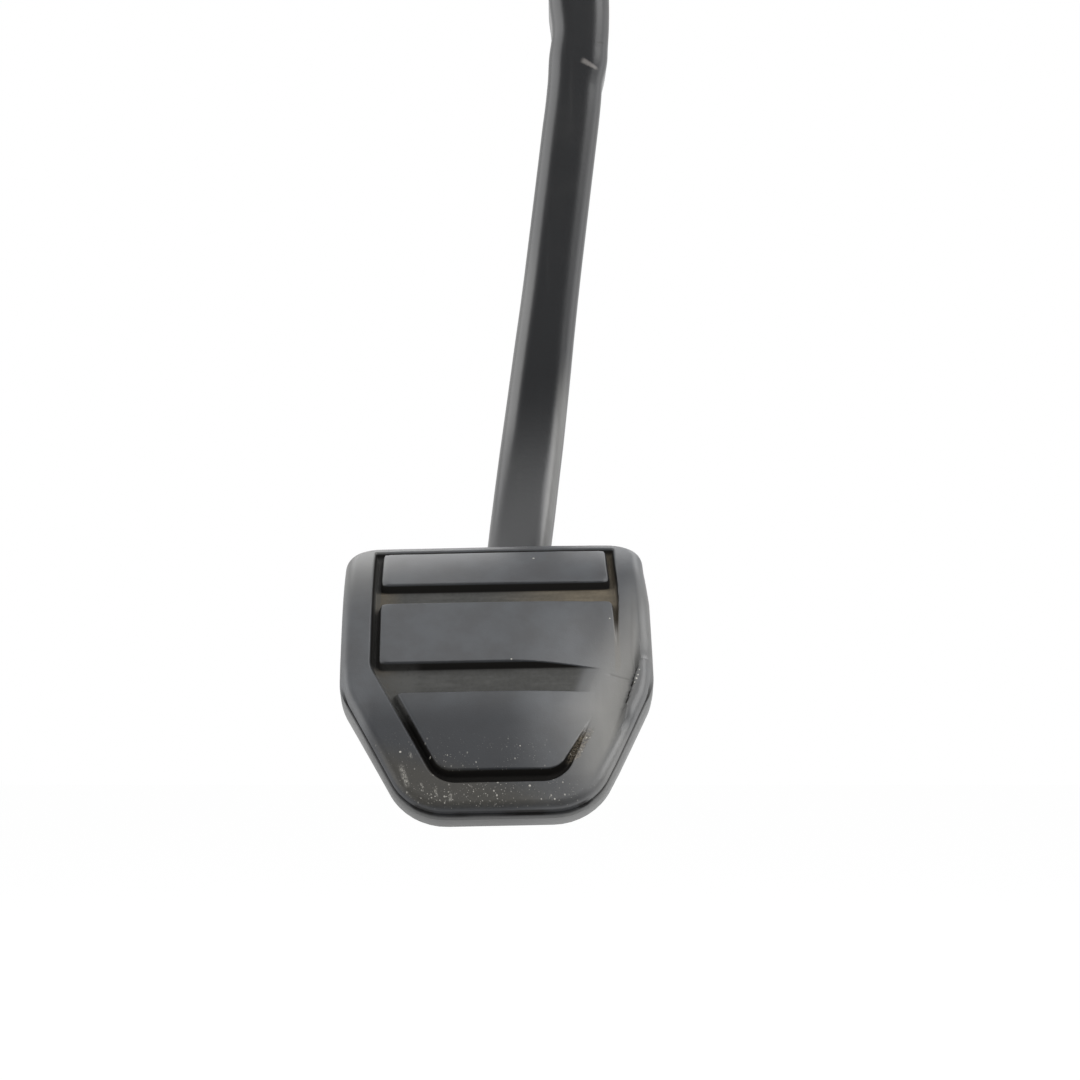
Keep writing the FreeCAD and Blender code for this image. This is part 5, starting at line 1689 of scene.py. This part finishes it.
@dataclass
class PressedArm:
    """The pedal's pressed steel arm: one piece from the pivot tube to the pad, with its joggle and bend."""

    face: PadFace = field(default_factory=PadFace)
    back: float = -95.0
    pivot_rise: float = 70.0
    tube_radius: float = 14.0
    joggle: float = -94.0
    lean: float = 6.87
    upper_width: float = 15.0
    reaches: tuple[Point, ...] = (
        (-60.0, 7.5, 7.5), (-22.0, 7.4, 7.62), (-13.9, 7.25, 7.74), (-11.8, 6.95, 7.81), (-9.7, 6.62, 7.79),
        (-7.6, 6.42, 7.77), (-5.5, 6.46, 7.71), (-3.4, 6.80, 7.62), (-1.3, 7.06, 7.6), (0.8, 7.08, 7.72),
        (2.9, 7.0, 7.54), (5.0, 6.92, 7.22), (7.0, 6.95, 6.96), (9.1, 6.92, 7.06), (12.3, 6.95, 7.2),
        (16.4, 7.05, 7.26), (33.0, 7.1, 7.25), (54.0, 7.18, 7.29), (62.5, 7.30, 7.38), (70.9, 7.5, 7.52),
        (80.0, 7.66, 7.75), (90.4, 7.82, 7.92), (101.0, 7.97, 8.06), (112.0, 8.0, 8.06), (123.0, 7.95, 8.08),
        (129.0, 7.86, 8.03), (180.0, 7.7, 7.9))
    depth: float = 26.0
    end_depth: float = 18.0
    corner: float = 4.5
    straight: float = 61.0
    flare: float = 17.0
    bend_radius: float = 75.0
    bend_angle: float = 75.0
    tail: float = 50.0
    plate_back: float = 6.2
    joggle_soft: float = 6.0
    saddle_sink: float = 0.5
    saddle_gap: float = 2.0
    eye_radius: float = 8.9
    eye_half_length: float = 12.0
    eye_sides: int = 64
    sharp: float = 50.0
    corner_steps: int = 7
    side_shares: Point = (0.25, 0.5, 0.75)
    reach_blur: float = 1.3
    reach_span: float = 2.4
    reach_samples: int = 9
    joggle_span: Pair = (-21.5, 18.0)
    section_counts: tuple[int, int, int] = (40, 60, 130)

    def build(self) -> bpy.types.Object:
        """Make the arm.

        Returns:
            The arm, riding with the pedal.
        """
        rings = [self.saddle(self.saddle_sink)] + [self.ring(t) for t in self.stations()]
        rings.append(self.seat(rings[-1], self.plate_back))
        shell = Shell()
        shell.loft(rings)
        arm = shell.build("pressed_arm", Finishes.ARM.value, self.sharp)
        self._bore(arm)
        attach(arm, "pedal")
        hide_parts("upper_arm", "lower_arm")
        return arm

    def stations(self) -> np.ndarray:
        """Distances below the joggle at which the arm has a section, closest round the joggle.

        Returns:
            The distances, negative above the joggle.
        """
        end = self.straight + self.flare + self.bend_radius * math.radians(self.bend_angle)
        top = -(self.pivot_rise - self.tube_radius - self.saddle_gap - self.joggle)
        start, stop = self.joggle_span
        above, among, below = self.section_counts
        return np.concatenate([np.linspace(top, start - 0.5, above), np.linspace(start, stop, among),
                               np.linspace(stop + 1.0, end, below)])

    def ring(self, t: float) -> np.ndarray:
        """The section at a distance below the joggle, in the part's frame.

        Args:
            t: the distance along the arm, negative above the joggle.

        Returns:
            The ring's points.
        """
        bend_start = self.straight + self.flare
        bend_length = self.bend_radius * math.radians(self.bend_angle)
        into_bend = max(0.0, t - bend_start)
        angle = into_bend / self.bend_radius
        depth = self.depth + (self.end_depth - self.depth) * into_bend / bend_length
        section = self._section(*self._half_widths(t), depth)
        y = section[:, 1] * math.cos(angle) - self.bend_radius * (1 - math.cos(angle))
        drop = min(t, bend_start) + (self.bend_radius + section[:, 1]) * math.sin(angle)
        lean = math.radians(self.lean)
        turned = lean * (1 + t / math.hypot(t, self.joggle_soft)) / 2
        middle = (t + math.hypot(t, self.joggle_soft)) / 2
        x = section[:, 0] * math.cos(turned) - math.sin(lean) * middle - math.sin(turned) * (drop - t)
        fall = drop if t <= 0 else drop * math.cos(lean)
        z = self.joggle - fall + section[:, 0] * math.sin(turned)
        return np.stack([x, self.back + y, z], -1)

    def _half_widths(self, t: float) -> tuple[float, float]:
        """The arm's reach to the left and right of its middle, with the joggle's neck and bump.

        Args:
            t: the distance below the joggle.

        Returns:
            The two reaches.
        """
        knots = np.array(self.reaches)
        offsets = np.linspace(-self.reach_span, self.reach_span, self.reach_samples)
        weights = np.exp(-(offsets / self.reach_blur) ** 2)
        left, right = (np.interp(t + offsets, knots[:, 0], knots[:, side]) for side in (1, 2))
        return float(left.dot(weights) / weights.sum()), float(right.dot(weights) / weights.sum())

    def _section(self, left: float, right: float, depth: float) -> np.ndarray:
        """A box section with rounded corners.

        Args:
            left: its reach to the left.
            right: its reach to the right.
            depth: front to back.

        Returns:
            Its points, x to the right and y forward, in three columns.
        """
        half, corner = depth / 2, self.corner
        centres = ((right - corner, half - corner), (corner - left, half - corner),
                   (corner - left, corner - half), (right - corner, corner - half))
        quarter = np.radians(np.linspace(0.0, 90.0, self.corner_steps))
        rounds = [np.stack([x + corner * np.cos(quarter + math.pi / 2 * i),
                            y + corner * np.sin(quarter + math.pi / 2 * i)], -1)
                  for i, (x, y) in enumerate(centres)]
        ring = []
        for this, following in zip(rounds, rounds[1:] + rounds[:1]):
            flat = [this[-1] + (following[0] - this[-1]) * share for share in self.side_shares]
            ring += [this, np.array(flat)]
        ring = np.concatenate(ring)
        return np.column_stack([ring, np.zeros(len(ring))])

    def saddle(self, sink: float) -> np.ndarray:
        """The ring where the arm meets the pivot tube.

        Args:
            sink: how far it is sunk into the tube.

        Returns:
            The ring's points.
        """
        ring = self.ring(self.stations()[0])
        reach = self.tube_radius - sink
        ring[:, 2] = self.pivot_rise - np.sqrt(np.maximum(0.1, reach ** 2 - (ring[:, 1] - self.back) ** 2))
        return ring

    def seat(self, last: np.ndarray, plate_back: float) -> np.ndarray:
        """The ring where the arm's straight end meets the pad's plate.

        Args:
            last: the last ring of the bend.
            plate_back: how deep under the pad's face the ring lies.

        Returns:
            The ring's points.
        """
        angle = math.radians(self.bend_angle)
        lean = math.radians(self.lean)
        fall = math.cos(angle)
        direction = np.array([-math.sin(lean) * fall, -math.sin(angle), -math.cos(lean) * fall])
        low = np.zeros(len(last))
        high = np.full(len(last), self.tail)
        halvings = 40
        for _ in range(halvings):
            middle = (low + high) / 2
            inside = self.face.depth_of(last + middle[:, None] * direction) < plate_back
            high = np.where(inside, middle, high)
            low = np.where(inside, low, middle)
        return last + low[:, None] * direction

    def _bore(self, arm: bpy.types.Object) -> None:
        """Cut the hole for the push rod's collar.

        Args:
            arm: the arm, whose mesh is replaced by the cut one.
        """
        shell = Shell()
        shell.loft([circle_round_x((x, self.back, 0.0), self.eye_radius, self.eye_sides)
                    for x in (-self.eye_half_length, self.eye_half_length)])
        cutter = shell.build("collar_cutter", Finishes.ARM.value)
        cut = arm.modifiers.new("collar_hole", "BOOLEAN")
        cut.operation = "DIFFERENCE"
        cut.solver = "EXACT"
        cut.object = cutter
        bpy.context.view_layer.update()
        evaluated = arm.evaluated_get(bpy.context.evaluated_depsgraph_get())
        mesh = bpy.data.meshes.new_from_object(evaluated)
        arm.modifiers.clear()
        arm.data = mesh
        bpy.data.objects.remove(cutter)


# Springs


@dataclass
class ReturnSpring:
    """The torsion spring round the pivot tube, hooked on the arm and anchored in the right side plate."""

    back: float = -95.0
    rise: float = 70.0
    wire: float = 2.5
    coil: float = 16.5
    inner: float = 10.0
    outer: float = 25.5
    turns: float = 5.0
    touch: float = -3.28
    hook_left: float = -7.5
    hook_y: float = -80.65
    hook_z: float = 32.0
    leg: float = 18.0
    anchor_reach: float = 33.75
    bend: float = 3.0
    steps: int = 60
    sides: int = 16

    def build(self) -> bpy.types.Object:
        """Make the spring.

        Returns:
            The spring, coiled between its hook on the pedal and its anchor in the bracket.
        """
        spring = Rod(self._path(), self.wire / 2, self.sides).build("torsion_spring", Finishes.SPRING.value)
        self.rise * MM
        self.rise * MM
        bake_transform(spring)
        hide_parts("return_spring")
        return spring

    def _path(self) -> np.ndarray:
        """Hook, coil and anchor leg.

        Returns:
            The wire's middle line.
        """
        angle = math.radians(self.touch)
        outward = np.array([0.0, math.cos(angle), math.sin(angle)])
        upward = np.array([0.0, -math.sin(angle), math.cos(angle)])
        start = np.array([self.inner, self.back, self.rise]) + outward * self.coil
        hook_end = (self.hook_left, self.hook_y, self.hook_z)
        hook_corner = (self.inner, self.hook_y, self.hook_z)
        hook = rounded_path([hook_end, hook_corner, start], self.bend)[:-1]
        angles = angle + np.linspace(0.0, 2 * math.pi * self.turns, int(self.turns * self.steps) + 1)
        x = np.linspace(self.inner, self.outer, len(angles))
        y, z = self.back + self.coil * np.cos(angles), self.rise + self.coil * np.sin(angles)
        coil = np.stack([x, y, z], -1)
        end = np.array([self.outer, self.back, self.rise]) + outward * self.coil
        corner = end + upward * self.leg
        far = corner + (self.anchor_reach - self.outer, 0.0, 0.0)
        leg = rounded_path([end, corner, far], self.bend)[1:]
        return np.concatenate([hook, coil, leg])


@dataclass
class SwitchSpring:
    """The light coil behind the switch's plunger."""

    wire: float = 0.8
    coil: float = 3.2
    turns: float = 4.5
    back: float = -145.6
    front: float = -135.4
    rise: float = 46.0
    steps: int = 28
    sides: int = 10

    def build(self) -> bpy.types.Object:
        """Make the spring.

        Returns:
            The spring.
        """
        angles = np.linspace(0.0, 2 * math.pi * self.turns, int(self.turns * self.steps) + 1)
        y = np.linspace(self.back + self.wire / 2, self.front - self.wire / 2, len(angles))
        path = np.stack([self.coil * np.cos(angles), y, self.rise + self.coil * np.sin(angles)], -1)
        spring = Rod(path, self.wire / 2, self.sides).build("plunger_spring", Finishes.SPRING.value)
        self.rise * MM
        self.rise * MM
        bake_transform(spring)
        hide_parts("switch_spring")
        return spring


# Welds


@dataclass
class WeldBeads:
    """Rippled beads all round the joints of the pedal's steel pieces."""

    arm: PressedArm
    tube_radius: float = 1.3
    plate_radius: float = 1.5
    collar_radius: float = 0.9
    plate_back: float = 6.9
    collar_ring: float = 9.1
    collar_stand: float = 0.1
    collar_points: int = 90
    step: float = 0.35
    sides: int = 12
    ripple: float = 0.16
    pitch: float = 1.1
    waves: tuple[Point, ...] = ((0.07, 0.9, 0.0), (0.05, 2.3, 1.0))

    def build(self) -> list[bpy.types.Object]:
        """Make every bead.

        Returns:
            The beads, riding with the pedal.
        """
        arm = self.arm
        round_seat = arm.seat(arm.ring(arm.stations()[-1]), self.plate_back)
        aside = arm.upper_width / 2 + self.collar_stand
        left, right = (circle_round_x((x, arm.back, 0.0), self.collar_ring, self.collar_points)
                       for x in (-aside, aside))
        return [
            self._bead("weld_tube", arm.saddle(0.0), self.tube_radius),
            self._bead("weld_plate", round_seat, self.plate_radius),
            self._bead("weld_collar_left", left, self.collar_radius),
            self._bead("weld_collar_right", right, self.collar_radius),
        ]

    def _bead(self, name: str, path: np.ndarray, radius: float) -> bpy.types.Object:
        """One bead along a closed path.

        Args:
            name: the bead's name.
            path: its middle line.
            radius: its radius.

        Returns:
            The bead.
        """
        path = self._even(path)
        along = np.arange(len(path)) * self.step
        lumps = radius + self.ripple * np.abs(np.sin(along * math.pi / self.pitch))
        lumps = lumps + sum(height * np.sin(along * pace + shift) for height, pace, shift in self.waves)
        bead = Rod(path, lumps, self.sides, closed=True).build(name, Finishes.WELD.value)
        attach(bead, "pedal")
        return bead

    def _even(self, path: np.ndarray) -> np.ndarray:
        """A closed path with even steps.

        Args:
            path: its points.

        Returns:
            The new points.
        """
        path = np.vstack([path, path[:1]])
        lengths = np.concatenate([[0.0], np.cumsum(np.linalg.norm(np.diff(path, axis=0), axis=1))])
        places = np.linspace(0.0, lengths[-1], int(lengths[-1] / self.step))
        return np.stack([np.interp(places, lengths, path[:, axis]) for axis in range(3)], -1)[:-1]


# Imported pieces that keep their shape


@dataclass
class KeptPieces:
    """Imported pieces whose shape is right: each gets a finish, and the steel ones softened edges."""

    finishes: dict[str, Finishes] = field(default_factory=lambda: {
        "bulkhead_plate": Finishes.BRACKET,
        "left_cheek": Finishes.BRACKET,
        "right_cheek": Finishes.BRACKET,
        "top_plate": Finishes.BRACKET,
        "stop_crossbar": Finishes.BRACKET,
        "stop_buffer": Finishes.BUFFER,
        "switch_collar": Finishes.NATURAL,
        "switch_housing": Finishes.HOUSING,
        "switch_terminals": Finishes.BRASS,
        "switch_plunger": Finishes.NATURAL,
        "pivot_bolt": Finishes.ZINC,
        "pivot_nut": Finishes.ZINC,
        "pivot_sleeve": Finishes.ZINC,
        "pivot_tube": Finishes.ARM,
        "left_bush": Finishes.NYLON,
        "right_bush": Finishes.NYLON,
        "pushrod_collar": Finishes.ARM,
        "pushrod_bush": Finishes.NYLON,
        "striker_tab": Finishes.ARM,
        "striker_button": Finishes.NATURAL,
        "pad_plate": Finishes.ARM,
    })
    softened: tuple[str, ...] = ("bulkhead_plate", "left_cheek", "right_cheek", "top_plate", "stop_crossbar",
                                 "striker_tab", "switch_housing", "pivot_bolt", "pivot_nut", "pad_plate")
    edge: float = 0.35
    edge_steps: int = 2
    sharp: float = 50.0
    merge: float = 0.01

    def dress(self) -> None:
        """Give every kept piece its finish."""
        for node, finish in self.finishes.items():
            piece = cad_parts[node]
            piece.data.materials.clear()
            piece.data.materials.append(finish.value.material())
            if node in self.softened:
                self._soften(piece)
            log.info("kept piece %s in %s", node, finish.value.name)

    def _soften(self, piece: bpy.types.Object) -> None:
        """Round a piece's edges a little.

        Args:
            piece: the piece, whose own mesh stays as it is.
        """
        weld = piece.modifiers.new("joined", "WELD")
        weld.merge_threshold = self.merge * MM
        bevel = piece.modifiers.new("softened", "BEVEL")
        bevel.width = self.edge * MM
        bevel.segments = self.edge_steps
        bevel.limit_method = "ANGLE"
        bevel.angle_limit = math.radians(self.sharp)
        bevel.harden_normals = True


# Studio


@dataclass(frozen=True)
class Softbox:
    """A soft rectangular lamp, unseen by the camera. At brightness 1 its face is as bright as white."""

    name: str
    place: Point
    width: float
    height: float
    brightness: float

    def build(self, target: Point) -> None:
        """Make the lamp.

        Args:
            target: where it faces.
        """
        data = bpy.data.lights.new(self.name, "AREA")
        data.shape = "RECTANGLE"
        data.size = self.width * MM
        data.size_y = self.height * MM
        data.energy = self.brightness * math.pi * data.size * data.size_y
        lamp = bpy.data.objects.new(self.name, data)
        lamp.location = Vector(self.place) * MM
        lamp.rotation_euler = (Vector(target) - Vector(self.place)).to_track_quat("-Z", "Y").to_euler()
        lamp.visible_camera = False
        bpy.context.scene.collection.objects.link(lamp)


@dataclass
class Studio:
    """Camera, floor, lamps and surroundings."""

    camera_place: Point = (-9.6, -641.0, -214.0)
    lens: float = 71.667
    sensor: float = 36.0
    clip: Pair = (0.01, 20.0)
    floor_level: float = -560.0
    floor_across: Pair = (-1600.0, 1600.0)
    floor_forward: Pair = (-420.0, 2400.0)
    floor_steps: int = 12
    lamp_target: Point = (-15.0, -110.0, -170.0)
    lamps: tuple[Softbox, ...] = (
        Softbox("left_softbox", (-900.0, -266.0, -45.0), 1250.0, 840.0, 1.15),
        Softbox("right_softbox", (900.0, -60.0, -160.0), 520.0, 700.0, 0.7),
        Softbox("front_right_softbox", (640.0, -590.0, 430.0), 820.0, 850.0, 2.3),
        Softbox("back_softbox", (0.0, 620.0, 560.0), 1150.0, 560.0, 2.0),
    )
    ceiling_low: float = 0.12
    ceiling: Pair = (0.25, 1.0)
    left_wall: Pair = (0.50, 0.72)
    left_level: float = 0.95
    right_wall: Pair = (0.45, 0.70)
    right_level: float = 0.58
    far_wall: Pair = (-0.10, 0.15)
    fill: float = 0.55

    def build(self) -> None:
        """Make the camera, the floor, the lamps and the world."""
        self._camera()
        self._floor()
        for lamp in self.lamps:
            lamp.build(self.lamp_target)
        self._world()

    def _camera(self) -> None:
        """The camera in the driver's place, level, looking forward."""
        data = bpy.data.cameras.new("driver_view")
        data.lens = self.lens
        data.sensor_width = self.sensor
        data.clip_start, data.clip_end = self.clip
        camera = bpy.data.objects.new("driver_view", data)
        camera.location = Vector(self.camera_place) * MM
        camera.rotation_euler = Euler((math.radians(90.0), 0.0, 0.0))
        bpy.context.scene.collection.objects.link(camera)
        bpy.context.scene.camera = camera

    def _floor(self) -> None:
        """A plain pale floor that shows white and keeps the pedal's shadow."""
        x, y = np.meshgrid(np.linspace(*self.floor_across, self.floor_steps),
                           np.linspace(*self.floor_forward, self.floor_steps))
        shell = Shell()
        shell.grid(np.stack([x, y, np.full(x.shape, self.floor_level)], -1))
        floor = shell.build("floor", FloorFinish())

    def _world(self) -> None:
        """White for the camera; soft studio walls and a dim camera side for reflections."""
        world = bpy.data.worlds.new("studio")
        world.use_nodes = True
        bpy.context.scene.world = world
        graph = Graph(world.node_tree)
        x, y, z = graph.axes(graph.add("ShaderNodeTexCoord", output="Generated"))
        overhead = self.ceiling_low + z.rise(*self.ceiling) * (1.0 - self.ceiling_low)
        left = (-x).rise(*self.left_wall) * self.left_level
        right = x.rise(*self.right_wall) * self.right_level
        wall = overhead.at_least(left.at_least(right)).at_least(y.rise(*self.far_wall))
        camera, glossy, through = graph.rays()
        plain = 1.0 - camera.at_least(glossy).at_least(through)
        strength = camera.at_least(through) + glossy * (1.0 - camera) * wall + plain * self.fill
        light = graph.add("ShaderNodeBackground", None, {"Color": (1.0, 1.0, 1.0, 1.0), "Strength": strength})
        graph.add("ShaderNodeOutputWorld", None, {"Surface": light})


@dataclass(frozen=True)
class FloorFinish(Finish):
    """The pale floor: mostly its own white for the eye and for reflections, the rest lit."""

    name: str = "pale_floor"
    shown: float = 0.8
    white: float = 1.12
    greys: Pair = (0.86, 0.84)
    cloud: Mottle = Mottle(3.0, 3.0, 0.5)

    def wire(self, graph: Graph) -> None:
        """A mix of a lit surface and plain white.

        Args:
            graph: the graph to build in.
        """
        camera, glossy, through = graph.rays()
        seen = camera.at_least(glossy).at_least(through)
        cloud = graph.noise(graph.place(), self.cloud)
        lit = graph.add("ShaderNodeBsdfDiffuse", None, {"Color": graph.mix(cloud, *map(grey, self.greys))})
        white = graph.add("ShaderNodeEmission", None, {"Color": grey(1.0), "Strength": self.white})
        surface = graph.add("ShaderNodeMixShader", None, {0: seen * self.shown, 1: lit, 2: white})
        graph.add("ShaderNodeOutputMaterial", None, {"Surface": surface})


def main() -> None:
    """Build the pedal's pieces in order and report each."""
    logging.basicConfig(level=logging.INFO, format="%(name)s: %(message)s")
    bpy.context.scene.view_settings.view_transform = "Standard"
    Studio().build()
    log.info("studio ready")
    KeptPieces().dress()
    cover = PadCover().build()
    log.info("pad cover with %d points", len(cover.data.vertices))
    arm_maker = PressedArm()
    arm = arm_maker.build()
    log.info("pressed arm with %d points", len(arm.data.vertices))
    for bead in WeldBeads(arm_maker).build():
        log.info("weld bead %s", bead.name)
    for spring in (ReturnSpring().build(), SwitchSpring().build()):
        log.info("spring %s", spring.name)


if __name__ == "__main__":
    main()
